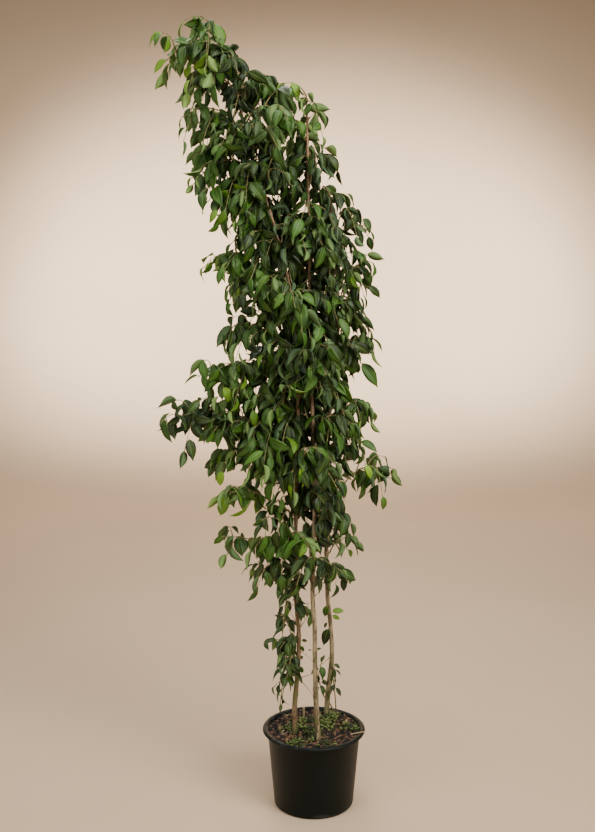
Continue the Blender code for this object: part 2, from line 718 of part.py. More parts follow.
def plan_twigs(sprays, thicket):
    """For each spray or sucker its twigs, as routes and radii, and the leaves that could hang from each."""
    growth = {}
    for name, points in SUCKERS.items():
        route = smooth_route(points, SUCKER_SEGMENTS)
        leaves = leaves_along(route, SUCKER_BARE_SHARE, SUCKER_LEAF_SCALE, name)
        growth[name] = [(route, tapered(SUCKER_RADIUS, len(route)), leaves)]
    for spray in sprays:
        route = spray_route(spray, SPRAY_SEGMENTS)
        leaves = leaves_along(route, spray.bare_share, spray.leaf_scale, spray.name)
        growth[spray.name] = [(route, tapered(SPRAY_RADIUS, len(route)), leaves)]
    for name, twigs in growth.items():
        thicket.add(name, *rough_tube(twigs[0][0], twigs[0][1], 0.0))
    for spray in sprays:
        routes = side_twigs(spray, growth[spray.name][0][0], TWIG_SEGMENTS)
        for i, route in list(enumerate(routes))[::-TWIGS_BUILT_OF]:
            radii = tapered(TWIG_RADIUS, len(route))
            if thicket.meets(*rough_tube(route, radii, LEAF_CLEARANCE), lambda name: name != spray.name):
                continue
            thicket.add(spray.name, *rough_tube(route, radii, 0.0))
            leaves = leaves_along(route, TWIG_BARE_SHARE, spray.leaf_scale, f"{spray.name} {i}")
            growth[spray.name].append((route, radii, leaves))
    return growth


def plan_leaves(growth, thicket, cage, marks):
    """For each spray the leaves that hang clear: those at twigs' tips, then wherever the crown is barest."""
    faces = [tuple(p.vertices) for p in cage.polygons]
    foot = [ring for ring, _, _ in marks].index(0)
    blade = [f for f in faces if foot not in f]
    sites = []
    for name, twigs in growth.items():
        for _, _, leaves in twigs:
            sites += [(name, leaf, leaf is leaves[-1]) for leaf in leaves]
    middles = np.array([tuple(leaf.root + leaf.along * leaf.length / 2) for _, leaf, _ in sites])
    room = np.array([FIRST_CHOICE if at_tip else 1.0 for _, _, at_tip in sites])
    chosen = {name: [] for name in growth}
    left = LEAVES_IN_ALL
    while left and room.max() > 0:
        k = int(room.argmax())
        room[k] = 0.0
        name, leaf, _ = sites[k]
        points = leaf_points(leaf, marks)
        swollen = leaf_points(leaf, marks, LEAF_CLEARANCE)
        if thicket.meets(swollen, faces, lambda other: other != name):
            continue
        if thicket.meets(points, blade, lambda other: other == name):
            continue
        chosen[name].append(points)
        thicket.add(name, points, faces)
        away = np.sqrt(((middles - middles[k]) ** 2).sum(axis=1))
        room = np.where(room == FIRST_CHOICE, room, np.minimum(room, away))
        left -= 1
    return chosen


def make_spray(name, twigs, leaves, parts, cage, section):
    """One solid of a spray's twigs and leaves."""
    pieces = new_collection(f"pieces_of_{name}")
    for i, (route, radii, _) in enumerate(twigs[1:]):
        tube(f"{name}_twig_{i}", route, radii, pieces, None, section)
    for i, points in enumerate(leaves):
        mesh = cage.copy()
        mesh.vertices.foreach_set("co", [value for point in points for value in point])
        add_object(f"{name}_leaf_{i}", mesh, pieces)
    spray = tube(name, twigs[0][0], twigs[0][1], parts, None, section)
    boolean(spray, pieces, "UNION", "MANIFOLD")
    spray = applied(spray, "leaf")
    drop_scraps(spray.data)
    for piece in list(pieces.objects):
        bpy.data.objects.remove(piece, do_unlink=True)
    bpy.data.collections.remove(pieces)
    return spray


def main():
    clear_scene()
    parts = new_collection("potted_ficus")
    guides = new_collection("guides", hidden=True)
    stem_holes = new_collection("stem_holes", hidden=True)
    section = twig_section(guides)
    cage, marks = leaf_cage()
    pot = make_pot(parts)
    soil = make_soil(parts)
    thicket = Thicket()
    for solid in [pot, soil, *make_stems(parts, stem_holes), make_stub(parts, stem_holes)]:
        thicket.add_object(solid)
    growth = plan_twigs(plan_sprays(), thicket)
    for name in SUCKERS:
        route, radii, _ = growth[name][0]
        stand_in_soil(name, route, radii, stem_holes, section)
    leaves = plan_leaves(growth, thicket, cage, marks)
    for name, twigs in growth.items():
        make_spray(name, twigs, leaves[name], parts, cage, section)
    boolean(pot, make_drain_holes(), "DIFFERENCE")
    boolean(soil, stem_holes, "DIFFERENCE")


main()
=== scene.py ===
"""The looks of a tall weeping fig with three slender stems, in a round black nursery pot.

Metres, +Z up, the origin at the middle of the pot's underside, -Y towards the camera.
The twigs and leaves grow by the same rule as the solids that they replace, at their full number.
"""
import json
import math
import random
from collections import namedtuple

import bmesh
import bpy
import numpy as np
from mathutils import Matrix, Vector

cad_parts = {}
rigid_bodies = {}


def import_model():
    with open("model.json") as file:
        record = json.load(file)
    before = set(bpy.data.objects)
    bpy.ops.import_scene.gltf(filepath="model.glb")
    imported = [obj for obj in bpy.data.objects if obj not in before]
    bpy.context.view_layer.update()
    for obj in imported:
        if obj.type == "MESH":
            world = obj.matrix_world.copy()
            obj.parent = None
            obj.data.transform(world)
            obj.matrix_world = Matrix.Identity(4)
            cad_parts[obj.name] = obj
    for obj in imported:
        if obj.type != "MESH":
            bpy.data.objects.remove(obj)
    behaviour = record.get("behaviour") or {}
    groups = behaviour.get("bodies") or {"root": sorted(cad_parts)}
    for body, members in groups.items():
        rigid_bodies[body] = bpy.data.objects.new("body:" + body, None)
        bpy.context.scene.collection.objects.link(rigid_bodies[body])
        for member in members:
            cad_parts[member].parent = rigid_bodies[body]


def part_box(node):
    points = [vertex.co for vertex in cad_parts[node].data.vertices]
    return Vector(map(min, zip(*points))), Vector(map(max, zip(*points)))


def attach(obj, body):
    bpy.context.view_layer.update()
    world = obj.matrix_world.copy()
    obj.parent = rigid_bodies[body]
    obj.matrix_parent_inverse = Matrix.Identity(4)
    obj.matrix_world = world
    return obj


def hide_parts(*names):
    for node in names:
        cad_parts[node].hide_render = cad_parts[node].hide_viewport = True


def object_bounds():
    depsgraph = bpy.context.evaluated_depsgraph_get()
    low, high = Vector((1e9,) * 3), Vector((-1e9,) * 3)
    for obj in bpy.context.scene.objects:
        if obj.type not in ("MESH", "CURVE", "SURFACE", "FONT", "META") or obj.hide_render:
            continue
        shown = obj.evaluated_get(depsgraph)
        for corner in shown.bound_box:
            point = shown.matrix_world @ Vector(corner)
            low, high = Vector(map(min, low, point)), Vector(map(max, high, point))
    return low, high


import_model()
CAD_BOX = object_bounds()
UP = Vector((0.0, 0.0, 1.0))

# Pot: its form, where its scuffs fade above the base, and where its wear begins and is full below the rim
POT_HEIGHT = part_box("pot")[1].z
POT_LIP_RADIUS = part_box("pot")[1].x
POT_BASE_RADIUS = 0.133
POT_NECK_RADIUS = 0.1555
POT_LIP_DEPTH = 0.0075
POT_LIP_CROWN = 0.0062
POT_WALL = 0.0022
POT_FLOOR = 0.004
POT_CORNER_RADIUS = 0.008
POT_LIP_EDGE = (0.0008, 0.0010)
POT_SIDES = 128
POT_SHARP_DEG = 40
POT_SCUFFS_FADE = (0.003, 0.028)
POT_WEAR_DEPTHS = (0.010, 0.003)
DRAIN_HOLES = 4
DRAIN_HOLE_SIDES = 24
DRAIN_HOLE_RADIUS = 0.007
DRAIN_CIRCLE_RADIUS = 0.088
SEAT_GAP = 0.0003

# Soil: its height at the edge, its dome, crumbs and ripples, and mounds as (x, y, radius, rise)
SOIL_EDGE_HEIGHT = 0.256
SOIL_DOME = 0.006
SOIL_RINGS = 40
SOIL_SIDES = 120
SOIL_CRUMB = 0.0022
SOIL_RIPPLE = 0.0025
SOIL_RIPPLE_PITCH = (61, 53)
SOIL_RIM_SHARE = 0.97
SOIL_MOUNDS = (
    (-0.060, -0.035, 0.040, 0.005),
    (0.052, 0.082, 0.045, 0.006),
    (0.025, -0.045, 0.040, 0.003),
    (0.105, -0.010, 0.035, 0.004),
)

# Moss and seedlings on the soil, as (x, y, radius, thickness of the cover)
GREEN_PATCHES = (
    (-0.083, -0.004, 0.028, 0.8), (-0.060, -0.030, 0.026, 0.7), (-0.034, 0.047, 0.032, 0.7),
    (-0.005, 0.067, 0.022, 0.6), (-0.016, -0.020, 0.036, 1.0), (-0.004, -0.062, 0.032, 1.0),
    (-0.064, -0.110, 0.024, 0.9), (-0.030, -0.107, 0.020, 0.6), (0.042, 0.027, 0.040, 1.0),
    (0.061, 0.092, 0.028, 1.0), (0.045, 0.060, 0.030, 0.8), (0.129, 0.004, 0.030, 1.0),
    (0.105, 0.010, 0.026, 0.6), (0.041, -0.118, 0.018, 0.6), (0.061, -0.125, 0.016, 0.5),
)

# Shed leaves on the soil, as (x, y, azimuth, length, tone)
FALLEN_LIFT = 0.0045
FALLEN_TILT = (-0.08, 0.14)
FALLEN_LEAN = 0.5
FALLEN_WIDTH_SHARE = 0.5
FALLEN_LEAVES = (
    (-0.090, 0.100, 43, 0.031, 0.95), (-0.005, 0.067, 20, 0.022, 0.95), (-0.028, -0.056, 283, 0.034, 0.85),
    (-0.017, -0.090, 312, 0.026, 0.75), (-0.030, -0.107, 165, 0.020, 0.88), (0.061, -0.125, 30, 0.020, 0.90),
    (0.106, 0.031, 62, 0.024, 0.75), (-0.112, -0.024, 100, 0.032, 0.15), (0.083, 0.043, 300, 0.034, 0.05),
    (0.103, -0.062, 250, 0.024, 0.40), (0.031, -0.081, 200, 0.022, 0.40), (-0.094, -0.090, 330, 0.024, 0.35),
)

# Dry sticks on the soil, as (x, y, azimuth, length, radius, tone), and their bend as a share of the length
STICKS = (
    (0.146, -0.046, 4, 0.044, 0.0016, 0.95), (-0.100, -0.060, 140, 0.044, 0.0012, 0.45),
    (-0.010, -0.118, 15, 0.050, 0.0011, 0.60), (0.060, -0.020, 75, 0.044, 0.0013, 0.35),
    (-0.052, 0.060, 160, 0.046, 0.0012, 0.50), (0.104, 0.052, 120, 0.038, 0.0010, 0.70),
    (-0.044, 0.005, 126, 0.036, 0.0014, 0.40), (0.094, -0.096, 60, 0.036, 0.0013, 0.40),
    (-0.103, -0.035, 70, 0.022, 0.0016, 0.98), (-0.097, -0.047, 20, 0.018, 0.0013, 0.95),
)
STICK_BOW = 0.06
STICK_RISE = (0.0, 0.003)
STICK_UNEVEN = (0.85, 1.15)
STICK_STEPS = 10
STICK_SIDES = 8
STICK_RELIEF = 0.0006

# Woody stems: the points that each one passes, from its foot in the soil to its tip
STEM_SEGMENTS = 20
STEMS = {
    "left": (
        (-0.062, -0.042, 0.170), (-0.063, -0.040, 0.262), (-0.064, -0.035, 0.354), (-0.058, -0.030, 0.429),
        (-0.052, -0.024, 0.504), (-0.051, -0.018, 0.605), (-0.061, -0.012, 0.740), (-0.059, -0.010, 1.050),
        (-0.054, -0.015, 1.330), (-0.058, -0.018, 1.560), (-0.080, -0.020, 1.740), (-0.128, -0.022, 1.930),
        (-0.188, -0.018, 2.120), (-0.228, -0.010, 2.280), (-0.258, -0.004, 2.395), (-0.298, 0.000, 2.455),
    ),
    "middle": (
        (0.018, -0.104, 0.170), (0.014, -0.100, 0.262), (0.006, -0.092, 0.386), (0.002, -0.078, 0.530),
        (0.001, -0.064, 0.639), (-0.006, -0.048, 0.760), (0.000, -0.026, 0.990), (-0.003, -0.004, 1.217),
        (-0.010, 0.012, 1.420), (-0.016, 0.022, 1.640), (-0.019, 0.024, 1.881), (-0.022, 0.018, 2.070),
        (-0.026, 0.010, 2.270),
    ),
    "right": (
        (0.043, 0.092, 0.175), (0.046, 0.092, 0.262), (0.048, 0.091, 0.330), (0.062, 0.087, 0.475),
        (0.057, 0.084, 0.590), (0.045, 0.078, 0.720), (0.041, 0.072, 0.991), (0.046, 0.068, 1.240),
        (0.062, 0.064, 1.440), (0.076, 0.058, 1.610), (0.066, 0.050, 1.820), (0.048, 0.042, 2.010),
    ),
}
STEM_RADIUS_AT = (
    (0.15, 0.0086), (0.36, 0.0084), (0.50, 0.0076), (1.00, 0.0068), (1.60, 0.0052), (2.45, 0.0024),
)
STEM_GIRTH = {"left": 0.84, "middle": 1.0, "right": 0.96}
STEM_STEPS = 240
STEM_SIDES = 14
BARK_RELIEF = 0.0011
BARK_GRAIN_SCALE = 170.0
BARK_STRETCH = (1.0, 1.0, 0.25)

# Swellings of the stems, as shares of their radius: low down, at the soil, at knots and where sprays leave
FOOT_SWELL = {"left": 0.22, "middle": 0.0, "right": 0.12}
FOOT_SWELL_HEIGHT = 0.36
FOOT_SWELL_LENGTH = 0.14
SOIL_FLARE = 0.10
SOIL_FLARE_HEIGHT = 0.265
SOIL_FLARE_LENGTH = 0.015
KNOTS = 26
KNOT_HEIGHTS = (0.30, 2.3)
KNOT_SWELL = (0.05, 0.13)
KNOT_LENGTH = 0.006
SPRAY_SWELL = 0.22
SPRAY_SWELL_LENGTH = 0.010

# Two thin leafy suckers and a cut stub that stand in the soil
SUCKERS = {
    "sucker_right": (
        (0.079, 0.112, 0.228), (0.078, 0.110, 0.272), (0.076, 0.104, 0.315), (0.071, 0.094, 0.363),
        (0.067, 0.082, 0.410), (0.070, 0.070, 0.452),
    ),
    "sucker_middle": (
        (0.070, 0.122, 0.228), (0.066, 0.124, 0.272), (0.054, 0.122, 0.300), (0.035, 0.112, 0.328),
        (0.023, 0.098, 0.370), (0.018, 0.090, 0.410), (0.025, 0.084, 0.452),
    ),
}
SUCKER_RADIUS = (0.0028, 0.0013)
SUCKER_SEGMENTS = 7
SUCKER_BARE_SHARE = 0.58
STUB = ((-0.033, 0.092, 0.228), (-0.034, 0.092, 0.294))
STUB_RADIUS = 0.0045
STUB_STEPS = 14

# The crown's outline for the ordinary sprays, by the height of their roots, over which they arch:
# height, left edge, right edge, half depth
CROWN = (
    (0.70, -0.20, 0.08, 0.12), (0.90, -0.20, 0.07, 0.15), (1.00, -0.23, 0.09, 0.17),
    (1.20, -0.29, 0.13, 0.20), (1.30, -0.28, 0.12, 0.20), (1.50, -0.25, 0.080, 0.19),
    (1.65, -0.235, 0.072, 0.19), (1.80, -0.25, 0.055, 0.18), (1.90, -0.29, 0.045, 0.17),
    (2.00, -0.36, 0.025, 0.16), (2.20, -0.39, -0.01, 0.15), (2.30, -0.42, -0.13, 0.12),
    (2.40, -0.45, -0.26, 0.08),
)
CROWN_MIDDLE_Y = 0.015
LEAF_OVERHANG = 0.035

# Named sprays: stem, height of the root on it (above its tip means at the tip), azimuth in degrees
# (0 right, 90 back, 180 left, 270 front), reach, and the heights above the root of the arch's
# control point and of its tip
STEM_TIP = 9.0
SPRAY_BARE_SHARE = 0.18
Spray = namedtuple("Spray", "name stem height azimuth reach crest tip leaf_scale bare_share",
                   defaults=(1.0, SPRAY_BARE_SHARE))
NAMED_SPRAYS = (
    Spray("spray_plume_left", "left", STEM_TIP, 182, 0.150, 0.055, -0.030),
    Spray("spray_plume_top", "left", 2.430, 200, 0.070, 0.128, 0.112, 1.15),
    Spray("spray_plume_low", "left", 2.340, 190, 0.130, 0.080, -0.020),
    Spray("spray_plume_right", "left", 2.330, 20, 0.080, 0.050, 0.000),
    Spray("spray_crest_right", "left", 2.240, -25, 0.120, 0.080, 0.020),
    Spray("spray_shoulder_left", "left", 2.200, 176, 0.185, 0.130, 0.065),
    Spray("spray_curtain_left", "left", 2.080, 188, 0.190, 0.110, -0.020),
    Spray("spray_tip_middle", "middle", STEM_TIP, 255, 0.028, 0.070, 0.040, 0.85),
    Spray("spray_tip_middle_left", "middle", 2.190, 200, 0.090, 0.110, 0.060),
    Spray("spray_tip_right", "right", STEM_TIP, 150, 0.030, 0.050, 0.025),
    Spray("spray_left_cluster_upper", "left", 1.740, 180, 0.225, 0.150, 0.075),
    Spray("spray_left_cluster_middle", "left", 1.510, 176, 0.200, 0.150, 0.100),
    Spray("spray_left_cluster_lower", "left", 1.350, 184, 0.300, 0.210, 0.110),
    Spray("spray_bough_left", "left", 1.160, 180, 0.405, 0.270, 0.145),
    Spray("spray_bough_left_low", "left", 1.040, 172, 0.245, 0.235, 0.150, 1.0, 0.40),
    Spray("spray_left_low", "left", 0.930, 183, 0.228, 0.220, 0.130, 1.1, 0.55),
    Spray("spray_left_whip", "left", 0.820, 178, 0.225, 0.110, 0.105, 0.9, 0.76),
    Spray("spray_hanging_upper", "left", 0.760, 186, 0.034, 0.060, -0.190, 0.75),
    Spray("spray_hanging_lower", "left", 0.590, 192, 0.050, 0.045, -0.225, 0.70),
    Spray("spray_right_upper", "right", 1.700, 2, 0.065, 0.130, 0.090),
    Spray("spray_right_middle", "right", 1.450, -14, 0.055, 0.120, 0.070),
    Spray("spray_right_shoulder", "right", 1.240, 4, 0.110, 0.160, 0.110),
    Spray("spray_bough_right", "right", 1.000, -2, 0.200, 0.200, 0.120, 1.0, 0.45),
    Spray("spray_right_low", "right", 0.850, -25, 0.060, 0.070, 0.025, 0.9, 0.50),
)

# Ordinary sprays: for each stem the lowest root, the highest root, how many, and the first azimuth
ORDINARY_SPRAYS = {
    "left": (0.84, 2.26, 10, 250.0),
    "middle": (0.80, 2.08, 10, 275.0),
    "right": (0.84, 1.84, 8, 60.0),
}

# Inner sprays, which the solids leave out: as above, with a shorter reach
INNER_SPRAYS = {
    "left": (1.00, 2.34, 21, 20.0),
    "middle": (1.04, 2.16, 14, 110.0),
    "right": (1.08, 1.90, 10, 200.0),
}
INNER_REACH_SHARE = (0.30, 0.75)
FILL_SPRAYS = (
    Spray("fill_left_shoulder", "left", 2.150, 170, 0.165, 0.090, -0.030),
    Spray("fill_left_curtain", "left", 1.980, 188, 0.150, 0.120, 0.010),
    Spray("fill_left_curtain_low", "left", 1.860, 180, 0.140, 0.120, 0.020),
    Spray("fill_heart", "left", 2.050, 10, 0.075, 0.060, 0.030),
    Spray("fill_plume", "left", 2.420, 184, 0.110, 0.085, 0.045, 0.9),
    Spray("fill_left_waist", "left", 1.710, 182, 0.150, 0.110, 0.050, 0.9),
    Spray("fill_left_cluster_high", "left", 1.430, 178, 0.210, 0.130, 0.020, 0.9),
    Spray("fill_left_hem_high", "left", 2.030, 186, 0.160, 0.090, -0.020),
    Spray("fill_left_hem", "left", 1.930, 184, 0.125, 0.090, 0.030),
    Spray("fill_left_cluster", "left", 1.290, 170, 0.220, 0.160, 0.080),
    Spray("fill_left_bough", "left", 1.130, 186, 0.260, 0.240, 0.150),
    Spray("fill_left_bough_back", "left", 1.190, 168, 0.300, 0.190, 0.090),
    Spray("fill_left_gap", "left", 1.000, 186, 0.085, 0.050, 0.010),
    Spray("fill_left_foot", "left", 0.810, 180, 0.120, 0.055, -0.010),
    Spray("fill_left_foot_high", "left", 0.890, 176, 0.120, 0.060, 0.020),
    Spray("fill_middle_foot", "middle", 0.795, 165, 0.050, 0.030, -0.025, 0.9),
    Spray("fill_right_foot", "right", 0.800, -30, 0.045, 0.030, -0.020, 0.9),
    Spray("fill_hanging", "left", 0.520, 205, 0.048, 0.040, -0.135, 0.72),
)
INNER_PIECES = 3

# How sprays are spread, shaped and turned aside from wood: crest and tip as a start and a share of the reach
ROOT_NUDGE = 0.2
ROOT_SPACING = 0.03
GOLDEN_ANGLE = 137.508
SHORTEST_REACH = 0.045
REACH_SHARE = (0.62, 1.06)
CREST_OF_REACH = (0.09, 0.85)
TIP_RISE = 0.018
TIP_OF_REACH = (0.2, 1.1)
CONTROL_SHARE = 0.42
SPRAY_SWAY = 0.12
SIDESTEP_DEG = 8.0
SIDESTEPS = 24
CLEAR_OF_WOOD = 0.013
TRIAL_STEPS = 24
TRIAL_SHANK_STEPS = 4
STEM_TRIAL_STEPS = 160
SUCKER_TRIAL_STEPS = 60

# Twigs: the guides have the solids' few steps, and each step is drawn in finer ones. Youth is given at the
# twig's foot and as its gain to the tip
SPRAY_RADIUS = (0.0030, 0.0013)
TWIG_RADIUS = (0.0016, 0.0009)
SPRAY_SEGMENTS = 5
TWIG_SEGMENTS = 2
FINER = 5
ROOT_SHANK = 0.005
TWIG_BARE_SHARE = 0.25
TWIG_PITCH = 0.032
TWIG_LAST_SHARE = 0.95
TWIG_TURN_DEG = (35, 75)
TWIG_REACH = (0.055, 0.105)
TWIG_SHRINK = (1.15, 0.35)
TWIG_CREST = 0.3
TWIG_FALL = (-0.7, 1.5)
TWIG_SIDES = 6
UPRIGHT = 0.2
MAIN_YOUTH = (0.10, 0.75)
SIDE_YOUTH = (0.45, 0.50)
COLLAR = ((0.0, 2.1), (0.3, 1.6), (0.7, 1.2))
BUD = ((0.0015, 1.25), (0.0045, 1.35), (0.0085, 0.80), (0.0120, 0.15))

# What the solids leave out, low on the stems: thin bare shoots, each from its stem's bark to its end,
# and small leaves, each from the foot of its stalk to its drip tip, with its tone
SHOOTS = (
    ((-0.057, -0.020, 0.638), (-0.071, -0.023, 0.663), (-0.082, -0.027, 0.684)),
    ((-0.050, -0.021, 0.620), (-0.037, -0.026, 0.660), (-0.021, -0.036, 0.705)),
    ((-0.050, -0.021, 0.616), (-0.028, -0.010, 0.646), (-0.009, 0.000, 0.672)),
    ((-0.052, -0.025, 0.546), (-0.027, -0.012, 0.524), (-0.006, -0.004, 0.500)),
    ((-0.054, -0.032, 0.450), (-0.025, -0.037, 0.461), (-0.005, -0.041, 0.470)),
    ((-0.054, -0.032, 0.455), (-0.026, -0.017, 0.415), (-0.002, -0.011, 0.378)),
    ((0.060, 0.084, 0.483), (0.039, 0.075, 0.466), (0.020, 0.065, 0.457)),
    ((0.000, -0.054, 0.741), (0.014, -0.059, 0.756), (0.020, -0.063, 0.779)),
)
STRAY_LEAVES = (
    ((-0.050, -0.023, 0.580), (-0.020, -0.028, 0.578), 0.10),
    ((-0.050, -0.024, 0.567), (-0.031, -0.027, 0.538), 0.30),
    ((-0.051, -0.026, 0.531), (-0.032, -0.015, 0.507), 0.15),
    ((-0.052, -0.028, 0.498), (-0.034, -0.033, 0.464), 0.35),
    ((-0.002, -0.079, 0.563), (-0.021, -0.086, 0.571), 0.20),
    ((0.001, -0.079, 0.564), (0.022, -0.084, 0.576), 0.15),
    ((0.048, 0.077, 0.673), (0.032, 0.070, 0.619), 0.55),
    ((0.051, 0.080, 0.610), (0.029, 0.077, 0.582), 0.20),
    ((0.053, 0.081, 0.589), (0.027, 0.072, 0.518), 0.02),
    ((0.054, 0.079, 0.642), (0.106, 0.076, 0.651), 0.80),
    ((0.055, 0.079, 0.632), (0.094, 0.072, 0.617), 0.75),
)
SHOOT_RADIUS = (0.0013, 0.0006)
SHOOT_STEPS = 8

# Leaves: lengths in metres, and how they and their stalks turn away from the twig, as parts of a direction
LEAF_LENGTH = (0.052, 0.080)
SUCKER_LEAF_SCALE = 0.5
LEAF_WIDTH_SHARE = 0.46
LEAF_PITCH = 0.0175
STEEP = 0.88
LEAF_FALL = (0.45, 1.9)
LEAF_WANDER = 0.25
LEAF_TURN_DEG = 30
LEAF_WIDTH_RANGE = (0.87, 1.13)
LAST_LEAF_SCALE = 0.82
LAST_LEAF_SHARE = 0.995
LEAF_BELLY = 0.4
FACE_FORWARD = (0.1, 0.6)
FACE_OUT = (0.2, 0.9)
FACE_UP = (0.3, 1.0)
PETIOLE = 0.009
PETIOLE_FORWARD = (0.2, 0.7)
PETIOLE_OUT = 0.8
PETIOLE_UP = (-0.1, 0.5)
LAST_PETIOLE_OUT = 0.15
PETIOLE_RADIUS = (0.0008, 0.0006, 0.0006, 0.0003)
PETIOLE_YOUTH = (0.8, 0.9, 1.0, 1.0)
PETIOLE_BOW = 0.0008
BOX_MARGIN = 0.008
Leaf = namedtuple("Leaf", "root petiole along normal length width")
Twig = namedtuple("Twig", "route radii leaves")

# The forms of a leaf one unit long, and how each leaf is rolled, swung and sized in radians and shares
LEAF_FORMS = 12
LEAF_CURL = (0.25, 1.1)
LEAF_FOLD_DEG = (4, 36)
LEAF_RIPPLE = (0.004, 0.020)
LEAF_RIPPLES = 1.6
LEAF_TWIST = 0.6
LEAF_PUFF = 0.012
LEAF_THICKNESS = 0.007
MIDRIB_GROOVE = 0.006
MIDRIB_KEEL = 0.009
LEAF_ROLL = 0.85
LEAF_SWAY = 0.20
TWIG_LEAF_SCALE = (0.86, 1.16)
OWN_LEAF_SCALE = (0.90, 1.10)

# A leaf's outline from its base to its drip tip: share of the length, share of the half width
LEAF_OUTLINE = (
    (0.00, 0.05), (0.07, 0.46), (0.20, 0.88), (0.38, 1.00), (0.57, 0.88), (0.74, 0.56), (0.88, 0.19),
    (1.00, 0.0),
)
LEAF_UPPER = (-1.0, -0.5, 0.0, 0.5, 1.0)
LEAF_UNDER = (-1.0, 0.0, 1.0)

# How light the leaves' colour is: as usual, by spray, twig and leaf, towards a twig's tip, in a fresh flush,
# on some sprays, and with painted shade inside the crown and close to a stem
USUAL_TONE = 0.20
SPRAY_TONE_RANGE = (-0.16, 0.14)
TWIG_TONE_SPREAD = 0.13
LEAF_TONE_SPREAD = 0.12
TIP_TONE = 0.26
FLUSH_SHARE = 0.07
FLUSH_TONE = 0.35
SPRAY_TONES = {
    "spray_tip_middle": 0.40,
    "spray_tip_middle_left": 0.26,
    "spray_plume_left": 0.36,
    "spray_plume_top": 0.16,
    "spray_tip_right": 0.16,
    "spray_left_low": 0.16,
    "spray_right_low": 0.18,
    "spray_left_cluster_upper": 0.10,
    "sucker_right": 0.16,
    "sucker_middle": 0.10,
    "between_boughs": -0.02,
    "spray_bough_left": -0.10,
    "spray_hanging_upper": -0.22,
    "spray_hanging_lower": -0.26,
    "spray_left_whip": -0.08,
}
# Painted shade: inner sprays are given a darker colour
PAINTED_INNER_SHADE = -0.16
# Painted shade: leaves near a stem are given a darker colour, fading out over a depth in metres
PAINTED_STEM_SHADE = -0.30
PAINTED_STEM_SHADE_DEPTH = 0.13

# Bits strewn on the soil; flat, blocky, long and round chips, by their share of each side
CHIP_SIZE = 0.0056
CHIP_FORMS = ((1.0, 0.45, 0.22), (1.0, 0.7, 0.35), (1.0, 0.25, 0.16), (0.8, 0.8, 0.6))
MOSS_FORMS = 4
SEEDLING_FORMS = 6

# Studio: the sweep's half section, and the lamps as place, point looked at, width, watts and tint
SWEEP_FRONT = -7.0
SWEEP_BACK = 6.2
SWEEP_BEND = 2.2
SWEEP_TOP = 6.0
SWEEP_HALF_WIDTH = 7.0
SOFT_LAMPS = {
    "key_light": ((2.6, -2.6, 3.7), (-0.1, 0.0, 1.1), 2.0, 64.0, (1.0, 0.97, 0.93)),
    "floor_light": ((0.3, -1.2, 4.4), (0.0, 0.4, 0.0), 2.4, 38.0, (1.0, 0.97, 0.93)),
    "fill_light": ((-3.0, -2.6, 2.4), (0.0, 0.0, 1.1), 2.0, 20.0, (1.0, 0.97, 0.94)),
    "back_light": ((-0.6, 1.4, 4.2), (0.0, 0.0, 1.3), 1.6, 20.0, (1.0, 0.98, 0.95)),
    "far_light": ((0.0, 3.6, 4.7), (0.0, 4.0, 0.0), 3.0, 46.0, (1.0, 0.96, 0.90)),
}
SOFT_SPREAD_DEG = 110
WALL_LAMPS = {"wall_light_left": (-5.2, 3.1, 2.2), "wall_light_right": (5.1, 3.1, 2.2)}
WALL_TARGET = (-0.05, 6.2, 1.38)
WALL_POWER = 4900.0
WALL_TINT = (1.0, 0.96, 0.89)
WALL_BEAM_DEG = 43
WALL_LAMP_RADIUS = 0.4
AIR_TINT = (1.0, 0.98, 0.95, 1.0)
AIR_STRENGTH = 0.37
LENS_MM = 50.0
CAMERA_PLACE = (-0.0549, -3.662, 1.938)
CAMERA_PITCH_DEG = 80.5


# Small helpers


def add_object(name, data, collection=None):
    obj = bpy.data.objects.new(name, data)
    (collection or bpy.context.scene.collection).objects.link(obj)
    return obj


def from_bmesh(bm, name, collection=None):
    """An object with the mesh of a bmesh, which is freed."""
    mesh = bpy.data.meshes.new(name)
    bm.to_mesh(mesh)
    bm.free()
    return add_object(name, mesh, collection)


def between(table, at):
    """Straight-line reading of a table whose rows begin with their position."""
    for low, high in zip(table, table[1:]):
        if at <= high[0]:
            share = max(0.0, (at - low[0]) / (high[0] - low[0]))
            return tuple(a + (b - a) * share for a, b in zip(low[1:], high[1:]))
    return tuple(table[-1][1:])


def tapered(ends, count):
    return [ends[0] + (ends[1] - ends[0]) * i / (count - 1) for i in range(count)]


def level(azimuth_deg):
    azimuth = math.radians(azimuth_deg)
    return Vector((math.cos(azimuth), math.sin(azimuth), 0.0))


def square_to(direction, vector):
    """The unit vector square to a direction that comes closest to a vector."""
    return (vector - direction * vector.dot(direction)).normalized()


def either_way(draw, most):
    return draw.uniform(-most, most)


def bell(distance, length):
    """1 at no distance, and fading to nothing over a length or two."""
    return math.exp(-(distance / length) ** 2)


def settled(objects):
    """Gives each object the plain mesh of its evaluated shape and takes its modifiers away."""
    graph = bpy.context.evaluated_depsgraph_get()
    meshes = [bpy.data.meshes.new_from_object(obj.evaluated_get(graph)) for obj in objects]
    for obj, mesh in zip(objects, meshes):
        obj.modifiers.clear()
        mesh.name = obj.name
        obj.data = mesh


def finished(piece, slot, *nodes):
    """Carries a finished piece on the root body and hides the solids that it replaces."""
    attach(piece, "root")
    if nodes:
        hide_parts(*nodes)
    return piece


# The plant's growth


def smooth_route(points, count):
    """count + 1 points, evenly spread, on a smooth curve through the given ones."""
    knots = [Vector(p) for p in points]
    padded = [2 * knots[0] - knots[1], *knots, 2 * knots[-1] - knots[-2]]
    spans = len(knots) - 1
    route = []
    for i in range(count + 1):
        place = spans * i / count
        k = min(int(place), spans - 1)
        t = place - k
        a, b, c, d = padded[k:k + 4]
        route.append(0.5 * (2 * b + (c - a) * t + (2 * a - 5 * b + 4 * c - d) * t * t
                            + (3 * b - a - 3 * c + d) * t ** 3))
    return route


